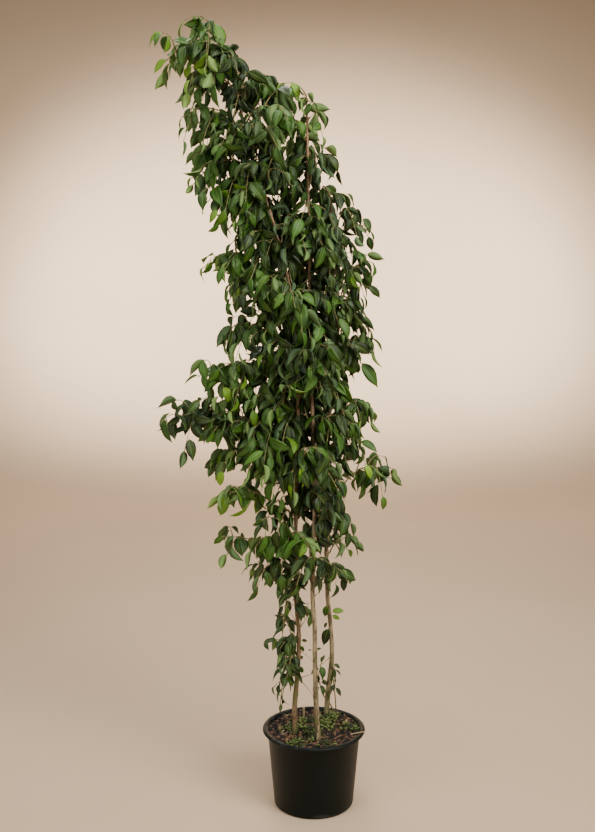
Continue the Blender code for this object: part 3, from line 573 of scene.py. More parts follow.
STEM_ROUTES = {stem: smooth_route(points, STEM_SEGMENTS) for stem, points in STEMS.items()}


def stem_radius(stem, height):
    return between(STEM_RADIUS_AT, height)[0] * STEM_GIRTH[stem]


def stem_place(stem, height):
    """The middle of a stem at a height, or its tip, and the stem's direction there."""
    route = STEM_ROUTES[stem]
    for low, high in zip(route, route[1:]):
        if high.z >= height:
            return low.lerp(high, (height - low.z) / (high.z - low.z)), (high - low).normalized()
    return route[-1], (route[-1] - route[-2]).normalized()


def crown_reach(point, heading):
    """How far a point is from the crown's outline along a level heading."""
    left, right, half_depth = between(CROWN, point.z)
    half_width = (right - left) / 2
    u = Vector(((point.x - (left + right) / 2) / half_width, (point.y - CROWN_MIDDLE_Y) / half_depth))
    v = Vector((heading.x / half_width, heading.y / half_depth))
    a, b, c = v.dot(v), 2 * u.dot(v), u.dot(u) - 1
    room = b * b - 4 * a * c
    return (math.sqrt(room) - b) / (2 * a) if room > 0 else 0.0


def arch(root, heading, reach, crest, tip, steps, sway=0.0):
    """An arching twig: it climbs from its root, bends over and comes down to its tip."""
    top = root + heading * reach * CONTROL_SHARE + UP * crest
    end = root + heading * reach + UP * tip
    side = UP.cross(heading)
    points = []
    for i in range(steps + 1):
        t = i / steps
        middle = root * (1 - t) ** 2 + top * 2 * t * (1 - t) + end * t * t
        points.append(middle + side * sway * math.sin(math.pi * t) * t)
    return points


def spray_route(spray, steps, finer=1):
    """The spray's main twig, with a short shank that leaves the stem's bark squarely."""
    middle, direction = stem_place(spray.stem, spray.height)
    heading = level(spray.azimuth)
    sway = either_way(random.Random(spray.name), SPRAY_SWAY) * spray.reach
    if spray.height == STEM_TIP:
        root = middle + direction * SEAT_GAP
        start = root + direction * ROOT_SHANK
    else:
        out = square_to(direction, heading)
        root = middle + out * (stem_radius(spray.stem, middle.z) + SEAT_GAP)
        start = root + out * ROOT_SHANK
    shank = [root.lerp(start, i / finer) for i in range(finer)]
    return [*shank, *arch(start, heading, spray.reach, spray.crest, spray.tip, steps * finer, sway)]


def spread_sprays(kind, table):
    """Sprays spread up each stem, turned on by the golden angle. Their reach is settled in aiming them."""
    sprays = []
    for stem, (low, high, count, first_azimuth) in table.items():
        for i in range(count):
            name = f"{kind}_{stem}_{i + 1:02d}"
            nudge = either_way(random.Random(name), ROOT_NUDGE)
            height = low + (high - low) * min(1.0, max(0.0, (i + nudge) / (count - 1)))
            while any(s.stem == stem and abs(s.height - height) < ROOT_SPACING for s in NAMED_SPRAYS):
                height += ROOT_SPACING / 2
            sprays.append(Spray(name, stem, height, first_azimuth + GOLDEN_ANGLE * i, None, None, None))
    return sprays


def aimed(spray, turn):
    """The spray turned by some degrees; one without a reach goes to the crown's outline there."""
    azimuth = (spray.azimuth + turn) % 360
    if spray.reach:
        return spray._replace(azimuth=azimuth)
    place, _ = stem_place(spray.stem, spray.height)
    draw = random.Random(spray.name + " reach")
    shares = INNER_REACH_SHARE if spray.name.startswith("inner") else REACH_SHARE
    reach = crown_reach(place, level(azimuth)) * draw.uniform(*shares) - LEAF_OVERHANG
    reach = max(SHORTEST_REACH, reach)
    crest = CREST_OF_REACH[0] + CREST_OF_REACH[1] * reach
    tip = TIP_RISE + reach * draw.uniform(*TIP_OF_REACH)
    return spray._replace(azimuth=azimuth, reach=reach, crest=crest, tip=tip)


def as_array(route):
    return np.array([tuple(p) for p in route])


def sampled(table, steps):
    return np.concatenate([as_array(smooth_route(points, steps)) for points in table.values()])


def least_distance(points, others):
    return np.sqrt(((points[:, None] - others[None]) ** 2).sum(axis=2)).min()


def plan_sprays():
    """All sprays, each turned aside by small steps until its twig is clear of stems and earlier twigs.

    What the solids leave out keeps clear of the stems alone.
    """
    stems = sampled(STEMS, STEM_TRIAL_STEPS)
    twigs = sampled(SUCKERS, SUCKER_TRIAL_STEPS)
    placed = []
    for spray in (*NAMED_SPRAYS, *spread_sprays("spray", ORDINARY_SPRAYS), *FILL_SPRAYS,
                  *spread_sprays("inner", INNER_SPRAYS)):
        in_solids = spray.name.startswith("spray")
        best_gap, best, best_points = -1.0, None, None
        for step in range(SIDESTEPS):
            turn = SIDESTEP_DEG * ((step + 1) // 2) * (-1) ** step
            tried = aimed(spray, turn)
            points = as_array(spray_route(tried, TRIAL_STEPS))
            gap = least_distance(points[TRIAL_SHANK_STEPS:], stems)
            if in_solids:
                gap = min(gap, least_distance(points, twigs))
            if gap > best_gap:
                best_gap, best, best_points = gap, tried, points
            if gap > CLEAR_OF_WOOD:
                break
        placed.append(best)
        if in_solids:
            twigs = np.concatenate([twigs, best_points])
    return placed


def length_of(route):
    return sum((b - a).length for a, b in zip(route, route[1:]))


def point_along(route, share):
    """The point and the direction at a share of a route's points."""
    place = share * (len(route) - 1)
    k = min(int(place), len(route) - 2)
    return route[k].lerp(route[k + 1], place - k), (route[k + 1] - route[k]).normalized()


def side_twigs(spray, guide, main):
    """Guides and fine routes of a spray's side twigs, which leave it on either side by turns and weep."""
    draw = random.Random(spray.name + " twigs")
    count = max(1, round(length_of(guide) * (1 - spray.bare_share) / TWIG_PITCH))
    for i in range(count):
        share = spray.bare_share + (TWIG_LAST_SHARE - spray.bare_share) * (i + 0.5) / count
        root, _ = point_along(main, share)
        _, tangent = point_along(guide, share)
        turn = math.radians(draw.uniform(*TWIG_TURN_DEG)) * (-1) ** i
        flat = Vector((tangent.x, tangent.y, 0.0))
        flat = flat.normalized() if flat.length > UPRIGHT else level(draw.uniform(0, 360))
        heading = Matrix.Rotation(turn, 3, "Z") @ flat
        shrink = TWIG_SHRINK[0] - TWIG_SHRINK[1] * share
        reach = draw.uniform(*TWIG_REACH) * shrink * spray.leaf_scale
        fall = draw.uniform(*TWIG_FALL) * reach
        form = (root, heading, reach, reach * TWIG_CREST + max(0.0, -fall), -fall)
        yield arch(*form, TWIG_SEGMENTS), arch(*form, TWIG_SEGMENTS * FINER)


def leaves_along(guide, route, bare_share, scale, name):
    """Leaves at an even pitch along a twig, on either side by turns, hanging with their faces outwards."""
    draw = random.Random(name + " leaves")
    count = max(1, int(length_of(guide) * (1 - bare_share) / (LEAF_PITCH * scale)))
    leaves = []
    for i in range(count + 1):
        last = i == count
        share = (bare_share + (1 - bare_share) * i / count) * LAST_LEAF_SHARE
        root, _ = point_along(route, share)
        _, tangent = point_along(guide, share)
        side = UP.cross(tangent) * (-1) ** i
        if abs(tangent.z) > STEEP:
            side = level(GOLDEN_ANGLE * i + either_way(draw, LEAF_TURN_DEG))
        side = square_to(tangent, side)
        forward = 1.0 if last else draw.uniform(*PETIOLE_FORWARD)
        outward = LAST_PETIOLE_OUT if last else PETIOLE_OUT
        petiole = (tangent * forward + side * outward + UP * draw.uniform(*PETIOLE_UP)).normalized()
        wander = Vector([either_way(draw, LEAF_WANDER) for _ in range(3)])
        along = (petiole - UP * draw.uniform(*LEAF_FALL) + wander).normalized()
        face = tangent * draw.uniform(*FACE_FORWARD) + side * draw.uniform(*FACE_OUT)
        face += UP * draw.uniform(*FACE_UP)
        length = draw.uniform(*LEAF_LENGTH) * scale * (LAST_LEAF_SCALE if last else 1.0)
        width = length * LEAF_WIDTH_SHARE * draw.uniform(*LEAF_WIDTH_RANGE)
        leaves.append(Leaf(root, petiole, along, square_to(along, face), length, width))
    return leaves


def within_box(*points):
    """Whether points lie no further out than a small margin round the solids."""
    low, high = CAD_BOX
    return all(low[i] - BOX_MARGIN < p[i] < high[i] + BOX_MARGIN for p in points for i in range(3))


def in_bounds(leaf):
    neck = leaf.root + leaf.petiole * PETIOLE
    side = leaf.along.cross(leaf.normal) * leaf.width / 2
    middle = neck + leaf.along * leaf.length * LEAF_BELLY
    return within_box(neck + leaf.along * leaf.length, middle + side, middle - side)


def grown(sprays):
    """For each spray and sucker its twigs, the main one first, with all the leaves that hang from them."""
    growth = {}
    for name, points in SUCKERS.items():
        guide = smooth_route(points, SUCKER_SEGMENTS)
        route = smooth_route(points, SUCKER_SEGMENTS * FINER)
        leaves = leaves_along(guide, route, SUCKER_BARE_SHARE, SUCKER_LEAF_SCALE, name)
        growth[name] = [Twig(route, tapered(SUCKER_RADIUS, len(route)), leaves)]
    for spray in sprays:
        guide = spray_route(spray, SPRAY_SEGMENTS)
        main = spray_route(spray, SPRAY_SEGMENTS, FINER)
        leaves = leaves_along(guide, main, spray.bare_share, spray.leaf_scale, spray.name)
        growth[spray.name] = [Twig(main, tapered(SPRAY_RADIUS, len(main)), leaves)]
        for i, (guide, route) in enumerate(side_twigs(spray, guide, main)):
            leaves = leaves_along(guide, route, TWIG_BARE_SHARE, spray.leaf_scale, f"{spray.name} {i}")
            if within_box(*route):
                growth[spray.name].append(Twig(route, tapered(TWIG_RADIUS, len(route)), leaves))
    return growth


# Node trees


def fill(tree, holder, inputs):
    """Sets a node's inputs, each to a constant or to the socket that feeds it."""
    for key, value in inputs.items():
        if isinstance(value, bpy.types.NodeSocket):
            tree.links.new(value, holder.inputs[key])
        else:
            holder.inputs[key].default_value = value


def node(tree, kind, inputs=None, **settings):
    """Adds a node with its settings, and its inputs as fill() takes them."""
    made = tree.nodes.new(kind)
    for key, value in settings.items():
        setattr(made, key, value)
    fill(tree, made, inputs or {})
    return made


def outcome(tree, kind, inputs=None, **settings):
    """Adds a node and gives its first output."""
    return node(tree, kind, inputs, **settings).outputs[0]


def math_of(tree, operation, first, second=0.0, third=0.0):
    return outcome(tree, "ShaderNodeMath", {0: first, 1: second, 2: third}, operation=operation)


def times(tree, first, second):
    return math_of(tree, "MULTIPLY", first, second)


def new_tree(kind, name, inputs, outputs):
    """A tree with named sockets, each (name, type) or (name, type, value), and its inner ends."""
    tree = bpy.data.node_groups.new(name, kind)
    for way, rows in (("INPUT", inputs), ("OUTPUT", outputs)):
        for socket_name, type_name, *value in rows:
            socket_type = f"NodeSocket{type_name}"
            socket = tree.interface.new_socket(socket_name, in_out=way, socket_type=socket_type)
            if value:
                socket.default_value = value[0]
    return tree, tree.nodes.new("NodeGroupInput").outputs, tree.nodes.new("NodeGroupOutput").inputs


def geometry_tree(name, *inputs):
    """A geometry tree with a geometry in and out, and the given inputs."""
    shape = ("Geometry", "Geometry")
    tree, given, out = new_tree("GeometryNodeTree", name, (shape, *inputs), (shape,))
    tree.is_modifier = True
    return tree, given, out


def use_tree(obj, tree, **values):
    """Puts a geometry tree on an object; each value is for the input of that name, with _ for a space."""
    modifier = obj.modifiers.new(tree.name, "NODES")
    modifier.node_group = tree
    for socket in tree.interface.items_tree:
        key = socket.name.replace(" ", "_").lower()
        if socket.item_type == "SOCKET" and socket.in_out == "INPUT" and key in values:
            modifier[socket.identifier] = values[key]


def read(tree, name, kind="FLOAT"):
    """A named attribute's value in a geometry tree."""
    return outcome(tree, "GeometryNodeInputNamedAttribute", {"Name": name}, data_type=kind)


def drawn(tree, low, high, seed):
    """A random number from low to high, one for each thing placed."""
    inputs = {2: low, 3: high, "Seed": seed}
    return node(tree, "FunctionNodeRandomValue", inputs, data_type="FLOAT").outputs[1]


def swept(tree, mesh, sides):
    """Tubes along a mesh's chains of edges, as thick as their radius attribute says."""
    curve = outcome(tree, "GeometryNodeMeshToCurve", {"Mesh": mesh})
    curve = outcome(tree, "GeometryNodeSetCurveRadius", {"Curve": curve, "Radius": read(tree, "radius")})
    circle = {"Resolution": sides, "Radius": 1.0}
    ring = outcome(tree, "GeometryNodeCurvePrimitiveCircle", circle, mode="RADIUS")
    tube = node(tree, "GeometryNodeCurveToMesh", {"Curve": curve, "Profile Curve": ring, "Fill Caps": True})
    if "Scale" in tube.inputs:
        tree.links.new(read(tree, "radius"), tube.inputs["Scale"])
    return tube.outputs[0]


def ended(tree, out, geometry, *finishes):
    """Ends a tree: real geometry, shaded smooth, with each material on the faces that its selection names."""
    geometry = outcome(tree, "GeometryNodeSetShadeSmooth", {"Geometry": geometry})
    geometry = outcome(tree, "GeometryNodeRealizeInstances", {"Geometry": geometry})
    for material, selection in finishes:
        inputs = {"Geometry": geometry, "Material": material, "Selection": selection}
        geometry = outcome(tree, "GeometryNodeSetMaterial", inputs)
    tree.links.new(geometry, out["Geometry"])
    return tree


def picked(tree, forms):
    """The forms of a collection, to pick from one by one."""
    inputs = {"Collection": forms, "Separate Children": True, "Reset Children": True}
    return outcome(tree, "GeometryNodeCollectionInfo", inputs)


def leafy_tree():
    """Twigs and petioles swept along chains of edges, and a leaf on each loose point."""
    tree, given, out = geometry_tree(
        "Leafy growth", ("Leaf Forms", "Collection"), ("Sides", "Int", TWIG_SIDES), ("Wood", "Material"),
        ("Blade", "Material"))
    is_leaf = read(tree, "is_leaf", "BOOLEAN")
    parts = node(tree, "GeometryNodeSeparateGeometry",
                 {"Geometry": given["Geometry"], "Selection": is_leaf}, domain="POINT")
    wood = swept(tree, parts.outputs["Inverted"], given["Sides"])
    axes = {"Primary Axis": read(tree, "along", "FLOAT_VECTOR"),
            "Secondary Axis": read(tree, "face", "FLOAT_VECTOR")}
    turn = outcome(tree, "FunctionNodeAxesToRotation", axes, primary_axis="Y", secondary_axis="Z")
    leaves = outcome(tree, "GeometryNodeInstanceOnPoints",
                     {"Points": parts.outputs["Selection"], "Instance": picked(tree, given["Leaf Forms"]),
                      "Pick Instance": True, "Instance Index": read(tree, "form", "INT"), "Rotation": turn,
                      "Scale": read(tree, "size", "FLOAT_VECTOR")})
    joined = node(tree, "GeometryNodeJoinGeometry")
    for part in (leaves, wood):
        tree.links.new(part, joined.inputs[0])
    blades = read(tree, "blade", "BOOLEAN")
    return ended(tree, out, joined.outputs[0], (given["Wood"], True), (given["Blade"], blades))


def woody_tree():
    """A stem swept along its route, with bark relief."""
    tree, given, out = geometry_tree(
        "Woody stem", ("Sides", "Int", STEM_SIDES), ("Relief", "Float", BARK_RELIEF), ("Bark", "Material"))
    tube = swept(tree, given["Geometry"], given["Sides"])
    place = outcome(tree, "GeometryNodeInputPosition")
    stretched = outcome(tree, "ShaderNodeVectorMath", {0: place, 1: BARK_STRETCH}, operation="MULTIPLY")
    grain = {"Vector": stretched, "Scale": BARK_GRAIN_SCALE, "Detail": 3.0}
    noise = outcome(tree, "ShaderNodeTexNoise", grain)
    rise = times(tree, math_of(tree, "SUBTRACT", noise, 0.5), given["Relief"])
    normal = outcome(tree, "GeometryNodeInputNormal")
    offset = outcome(tree, "ShaderNodeVectorMath", {0: normal, "Scale": rise}, operation="SCALE")
    moved = outcome(tree, "GeometryNodeSetPosition", {"Geometry": tube, "Offset": offset})
    return ended(tree, out, moved, (given["Bark"], True))


def scatter_tree():
    """Forms strewn over a surface, as thick as its cover attribute says, each with a shade of its own."""
    tree, given, out = geometry_tree(
        "Scatter", ("Forms", "Collection"), ("Density", "Float", 1000.0), ("Smallest", "Float", 0.5),
        ("Largest", "Float", 1.0), ("Lean", "Float", 0.3), ("Lift", "Float", 0.0), ("Seed", "Int", 1),
        ("Finish", "Material"))
    seed = given["Seed"]
    density = times(tree, read(tree, "cover"), given["Density"])
    spread = outcome(tree, "GeometryNodeDistributePointsOnFaces",
                     {"Mesh": given["Geometry"], "Density": density, "Seed": seed})
    lean = given["Lean"]
    back = times(tree, lean, -1.0)
    low = outcome(tree, "ShaderNodeCombineXYZ", {"X": back, "Y": back, "Z": 0.0})
    high = outcome(tree, "ShaderNodeCombineXYZ", {"X": lean, "Y": lean, "Z": 2 * math.pi})
    turn = outcome(tree, "FunctionNodeRandomValue", {0: low, 1: high, "Seed": seed}, data_type="FLOAT_VECTOR")
    strewn = outcome(tree, "GeometryNodeInstanceOnPoints",
                     {"Points": spread, "Instance": picked(tree, given["Forms"]), "Pick Instance": True,
                      "Rotation": outcome(tree, "FunctionNodeEulerToRotation", {"Euler": turn}),
                      "Scale": drawn(tree, given["Smallest"], given["Largest"], seed)})
    lift = outcome(tree, "ShaderNodeCombineXYZ", {"Z": given["Lift"]})
    lifted = outcome(tree, "GeometryNodeTranslateInstances",
                     {"Instances": strewn, "Translation": lift, "Local Space": False})
    shaded = outcome(tree, "GeometryNodeStoreNamedAttribute",
                     {"Geometry": lifted, "Name": "tone", "Value": drawn(tree, 0.0, 1.0, seed)},
                     data_type="FLOAT", domain="INSTANCE")
    return ended(tree, out, shaded, (given["Finish"], True))


# Materials


def new_material(name):
    material = bpy.data.materials.new(name)
    material.use_nodes = True
    return material, material.node_tree


def painted(material, base, roughness, normal, specular=0.5):
    """Feeds a material's shader, and gives the material."""
    tree = material.node_tree
    fill(tree, tree.nodes["Principled BSDF"],
         {"Base Color": base, "Roughness": roughness, "Normal": normal, "Specular IOR Level": specular})
    return material


def linear(value):
    """A colour for a socket: a socket as it is, or red, green and blue on the screen's 0 to 255 scale."""
    if isinstance(value, bpy.types.NodeSocket):
        return value
    return (*[(v / 255 / 12.92) if v < 10.3 else ((v / 255 + 0.055) / 1.055) ** 2.4 for v in value], 1.0)


def blended(tree, share, first, second):
    """A colour between two, by a share from 0 to 1."""
    inputs = {0: share, 6: linear(first), 7: linear(second)}
    return node(tree, "ShaderNodeMix", inputs, data_type="RGBA").outputs[2]


def tinted(tree, base, mask, most, shade):
    """A colour turned towards a shade, by up to a share of most where the mask is full."""
    return blended(tree, times(tree, mask, most), base, shade)


def stepped(tree, value, low, high):
    """0 below low, 1 above high, and smooth between."""
    inputs = {"Value": value, "From Min": low, "From Max": high}
    return outcome(tree, "ShaderNodeMapRange", inputs, interpolation_type="SMOOTHSTEP")


def faded(tree, value, low, high):
    """1 below low, 0 above high, and smooth between."""
    return math_of(tree, "SUBTRACT", 1.0, stepped(tree, value, low, high))


def attribute(tree, name):
    return node(tree, "ShaderNodeAttribute", attribute_name=name).outputs["Fac"]


def bumped(tree, height, distance, strength=1.0):
    return outcome(tree, "ShaderNodeBump", {"Height": height, "Distance": distance, "Strength": strength})


def object_place(tree, stretch=None):
    """Object coordinates, stretched where a pattern runs one way."""
    place = node(tree, "ShaderNodeTexCoord").outputs["Object"]
    return outcome(tree, "ShaderNodeMapping", {"Vector": place, "Scale": stretch}) if stretch else place


def mottle_group():
    """Broad and fine mottling over a surface: a mask for colour and a height for relief."""
    tree, given, out = new_tree("ShaderNodeTree", "Mottle", (
        ("Vector", "Vector"), ("Broad Scale", "Float", 8.0), ("Fine Scale", "Float", 60.0),
        ("Low", "Float", 0.35), ("High", "Float", 0.65),
    ), (("Mask", "Float"), ("Height", "Float")))
    broad = outcome(tree, "ShaderNodeTexNoise",
                    {"Vector": given["Vector"], "Scale": given["Broad Scale"], "Detail": 4.0})
    fine = outcome(tree, "ShaderNodeTexNoise",
                   {"Vector": given["Vector"], "Scale": given["Fine Scale"], "Detail": 3.0, "Roughness": 0.6})
    both = math_of(tree, "MULTIPLY_ADD", fine, 0.35, times(tree, broad, 0.65))
    tree.links.new(stepped(tree, both, given["Low"], given["High"]), out["Mask"])
    tree.links.new(fine, out["Height"])
    return tree


MOTTLE = mottle_group()


def mottled(tree, broad, fine, low=0.4, high=0.6, stretch=None):
    """The mottle group in a material, with its own sizes: its mask and its height."""
    inputs = {"Vector": object_place(tree, stretch), "Broad Scale": broad, "Fine Scale": fine,
              "Low": low, "High": high}
    group = node(tree, "ShaderNodeGroup", inputs, node_tree=MOTTLE)
    return group.outputs["Mask"], group.outputs["Height"]


def pot_plastic():
    """Black moulded plastic with a fine grain, water marks and scuffs towards the base and the lip."""
    material, tree = new_material("pot_plastic")
    height = node(tree, "ShaderNodeSeparateXYZ", {0: object_place(tree)}).outputs["Z"]
    scuffs, _ = mottled(tree, 22.0, 210.0, 0.50, 0.62, (1.0, 1.0, 2.6))
    low_down = faded(tree, height, *POT_SCUFFS_FADE)
    on_lip = stepped(tree, height, *(POT_HEIGHT - depth for depth in POT_WEAR_DEPTHS))
    worn = times(tree, scuffs, math_of(tree, "MAXIMUM", low_down, on_lip))
    marks, grain = mottled(tree, 9.0, 900.0, 0.42, 0.62, (1.0, 1.0, 0.25))
    base = tinted(tree, (8, 16, 14), marks, 0.5, (14, 21, 19))
    base = tinted(tree, base, worn, 0.50, (66, 70, 65))
    roughness = math_of(tree, "MULTIPLY_ADD", marks, 0.12, math_of(tree, "MULTIPLY_ADD", worn, 0.2, 0.36))
    return painted(material, base, roughness, bumped(tree, grain, 0.0002, 0.35), 0.15)


def potting_soil():
    """Damp dark compost with redder bark and a few pale crumbs."""
    material, tree = new_material("potting_soil")
    mask, crumbs = mottled(tree, 45.0, 420.0)
    base = blended(tree, mask, (11, 7, 5), (34, 22, 14))
    base = blended(tree, stepped(tree, crumbs, 0.66, 0.74), base, (140, 108, 78))
    return painted(material, base, 0.95, bumped(tree, crumbs, 0.002))


def litter(name, shades, roughness=0.85):
    """Bits whose colour lies between the shades by each bit's own tone."""
    material, tree = new_material(name)
    tone = attribute(tree, "tone")
    mask, height = mottled(tree, 120.0, 700.0)
    base = shades[0]
    for i, shade in enumerate(shades[1:]):
        edge = (i + 1) / len(shades)
        base = blended(tree, stepped(tree, tone, edge - 0.08, edge + 0.08), base, shade)
    darker = blended(tree, 0.45, base, (0, 0, 0))
    return painted(material, blended(tree, mask, darker, base), roughness, bumped(tree, height, 0.0006))


def stem_bark():
    """Tan-grey fig bark: fine streaks up the stem, cross lenticels, green algae low down, redder above."""
    material, tree = new_material("stem_bark")
    sideways, _, height = node(tree, "ShaderNodeSeparateXYZ", {0: object_place(tree)}).outputs
    streaks, grain = mottled(tree, 75.0, 300.0, 0.41, 0.59, (1.0, 1.0, 0.22))
    blotches, _ = mottled(tree, 28.0, 90.0, 0.45, 0.62, (1.0, 1.0, 0.5))
    pores = {"Vector": object_place(tree, (0.55, 0.55, 1.6)), "Scale": 210.0, "Randomness": 1.0}
    distance = node(tree, "ShaderNodeTexVoronoi", pores).outputs["Distance"]
    lenticels = faded(tree, distance, 0.16, 0.30)
    base = blended(tree, streaks, (78, 66, 42), (162, 142, 106))
    base = tinted(tree, base, faded(tree, sideways, -0.045, -0.030), 0.55, (112, 78, 52))
    upper = blended(tree, streaks, (120, 84, 60), (184, 142, 108))
    base = blended(tree, stepped(tree, height, 0.9, 1.9), base, upper)
    base = tinted(tree, base, lenticels, 0.55, (196, 174, 140))
    algae = times(tree, faded(tree, height, 0.30, 0.75), blotches)
    base = tinted(tree, base, algae, 0.85, (92, 104, 44))
    base = tinted(tree, base, faded(tree, height, 0.245, 0.285), 0.6, (62, 52, 28))
    relief = math_of(tree, "MULTIPLY_ADD", lenticels, 0.5, grain)
    return painted(material, base, 0.82, bumped(tree, relief, 0.0013, 0.9))


def twig_bark():
    """Young wood, from brown at its thick end to yellow green where it is thin."""
    material, tree = new_material("twig_bark")
    streaks, grain = mottled(tree, 90.0, 600.0, stretch=(1.0, 1.0, 0.4))
    brown = blended(tree, streaks, (96, 74, 46), (150, 122, 82))
    green = blended(tree, streaks, (98, 100, 48), (148, 142, 84))
    base = blended(tree, attribute(tree, "youth"), brown, green)
    return painted(material, base, 0.6, bumped(tree, grain, 0.0003, 0.6))


def vein_lines(tree):
    """Masks over a leaf from its own map: the midrib, and the side veins that slant to the margins."""
    leaf_map = outcome(tree, "ShaderNodeUVMap", uv_map="UVMap")
    across, along, _ = node(tree, "ShaderNodeSeparateXYZ", {0: leaf_map}).outputs
    out = math_of(tree, "ABSOLUTE", math_of(tree, "MULTIPLY_ADD", across, 2.0, -1.0))
    slant = math_of(tree, "SUBTRACT", along, times(tree, out, 0.13))
    wave = math_of(tree, "FRACT", times(tree, slant, 13.0))
    ridge = math_of(tree, "ABSOLUTE", math_of(tree, "SUBTRACT", wave, 0.5))
    veins = times(tree, faded(tree, ridge, 0.03, 0.16), faded(tree, out, 0.55, 0.95))
    return faded(tree, out, 0.03, 0.10), veins


def leaf_blade():
    """A glossy leaf, from dark to light by its tone: dark for aged leaves and for painted shade, light when
    young, with a paler rib and a dull underside.
    """
    material, tree = new_material("leaf_blade")
    # The darkest colour stands for aged leaves and for painted shade
    old_and_shaded, grown_up, young = (12, 27, 7), (48, 88, 18), (128, 170, 34)
    light = (140, 170, 84)
    tone = attribute(tree, "tone")
    under = attribute(tree, "under")
    mask, grain = mottled(tree, 30.0, 500.0, 0.38, 0.62)
    midrib, veins = vein_lines(tree)
    base = blended(tree, stepped(tree, tone, 0.0, 0.5), old_and_shaded, grown_up)
    base = blended(tree, stepped(tree, tone, 0.55, 1.0), base, young)
    base = tinted(tree, base, mask, 0.12, young)
    base = tinted(tree, base, veins, 0.10, light)
    base = tinted(tree, base, midrib, 0.32, light)
    dull = tinted(tree, blended(tree, tone, (66, 90, 56), light), midrib, 0.4, light)
    base = tinted(tree, base, under, 0.85, dull)
    roughness = math_of(tree, "MULTIPLY_ADD", under, 0.20, math_of(tree, "MULTIPLY_ADD", grain, 0.14, 0.36))
    relief = math_of(tree, "MULTIPLY_ADD", veins, -0.5, times(tree, midrib, -0.8))
    relief = math_of(tree, "MULTIPLY_ADD", grain, 0.3, relief)
    return painted(material, base, roughness, bumped(tree, relief, 0.0007, 0.7), 0.36)


def fallen_leaf():
    """A dry leaf, from dark brown through tan to the pale yellow green of one just shed."""
    material, tree = new_material("fallen_leaf")
    tone = attribute(tree, "tone")
    mask, grain = mottled(tree, 60.0, 500.0, 0.38, 0.62)
    midrib, veins = vein_lines(tree)
    base = blended(tree, stepped(tree, tone, 0.0, 0.5), (84, 56, 34), (150, 112, 70))
    base = blended(tree, stepped(tree, tone, 0.6, 0.9), base, (150, 166, 92))
    base = tinted(tree, base, mask, 0.4, (104, 74, 44))
    lines = math_of(tree, "MAXIMUM", times(tree, veins, 0.3), midrib)
    base = tinted(tree, base, lines, 0.35, (186, 160, 116))
    relief = math_of(tree, "MULTIPLY_ADD", grain, 0.3, lines)
    return painted(material, base, 0.75, bumped(tree, relief, 0.0007, 0.7))


def studio_paint():
    """The pale matt floor and backdrop."""
    material, tree = new_material("studio_paint")
    mask, height = mottled(tree, 0.6, 220.0)
    base = blended(tree, mask, (202, 175, 143), (207, 181, 150))
    return painted(material, base, 0.9, bumped(tree, height, 0.0004, 0.3))


# Leaves and twigs


LeafForm = namedtuple("LeafForm", "curl fold ripple phase twist")
CHAIN_VALUES = {
    "radius": "FLOAT",
    "youth": "FLOAT",
    "tone": "FLOAT",
    "is_leaf": "BOOLEAN",
    "form": "INT",
    "along": "FLOAT_VECTOR",
    "face": "FLOAT_VECTOR",
    "size": "FLOAT_VECTOR",
}


def leaf_point(form, share, spread, across, side):
    """A point of a leaf one unit long and one wide, which grows along +Y and faces +Z."""
    bend = form.curl * share
    outward = Vector((1.0, 0.0, 0.0))
    facing = Vector((0.0, math.sin(bend), math.cos(bend)))
    place = Vector((0.0, math.sin(bend), math.cos(bend) - 1.0)) / form.curl
    turned = Matrix.Rotation(form.twist * share, 3, facing.cross(outward))
    half = spread * across / 2
    fold = LEAF_WIDTH_SHARE * abs(half) * math.tan(form.fold) * (1 - 0.5 * share)
    wave = math.sin(2 * math.pi * LEAF_RIPPLES * share + form.phase + across)
    ripple = form.ripple * across * across * spread * wave
    puff = LEAF_PUFF * spread * (1 - (2 * abs(across) - 1) ** 2)
    rise = fold + ripple + puff - (MIDRIB_GROOVE if across == 0 else 0.0)
    thick = LEAF_THICKNESS / 2 * (1 - abs(across)) * min(1.0, 4 * spread)
    if side < 0 and across == 0:
        thick += MIDRIB_KEEL * (1 - share)
    return place + turned @ (outward * half) + facing * (rise + side * thick)


def leaf_mesh(name, form):
    """A thin closed blade with its upper and under sides, its outline from the table and its own map."""
    points, faces, places, bases = [], [], [], []
    for side, columns in ((1, LEAF_UPPER), (-1, LEAF_UNDER)):
        first = len(points)
        width = len(columns)
        under_from = len(faces)
        for share, spread in LEAF_OUTLINE:
            for across in columns:
                points.append(leaf_point(form, share, spread, across, side))
                places.append(((across + 1) / 2, share))
        for i in range(len(LEAF_OUTLINE) - 1):
            for a in range(first + i * width, first + (i + 1) * width - 1):
                faces.append((a, a + 1, a + width + 1, a + width)[::side])
        bases.append(range(first, first + width))
    faces.append((*bases[0][::-1], *bases[1]))
    mesh = bpy.data.meshes.new(name)
    mesh.from_pydata(points, [], faces)
    bm = bmesh.new()
    bm.from_mesh(mesh)
    bm.faces.ensure_lookup_table()
    map_layer = bm.loops.layers.uv.new("UVMap")
    under = bm.faces.layers.float.new("under")
    for face in bm.faces:
        face[under] = float(face.index >= under_from)
        for loop in face.loops:
            loop[map_layer].uv = places[loop.vert.index]
    bmesh.ops.remove_doubles(bm, verts=bm.verts, dist=1e-5)
    bm.to_mesh(mesh)
    bm.free()
    blade = mesh.attributes.new("blade", "BOOLEAN", "POINT")
    blade.data.foreach_set("value", [True] * len(mesh.vertices))
    return mesh


def new_forms(name):
    """A collection for the forms that a tree places, out of every render."""
    collection = bpy.data.collections.new(name)
    bpy.context.scene.collection.children.link(collection)
    collection.hide_render = True
    return collection


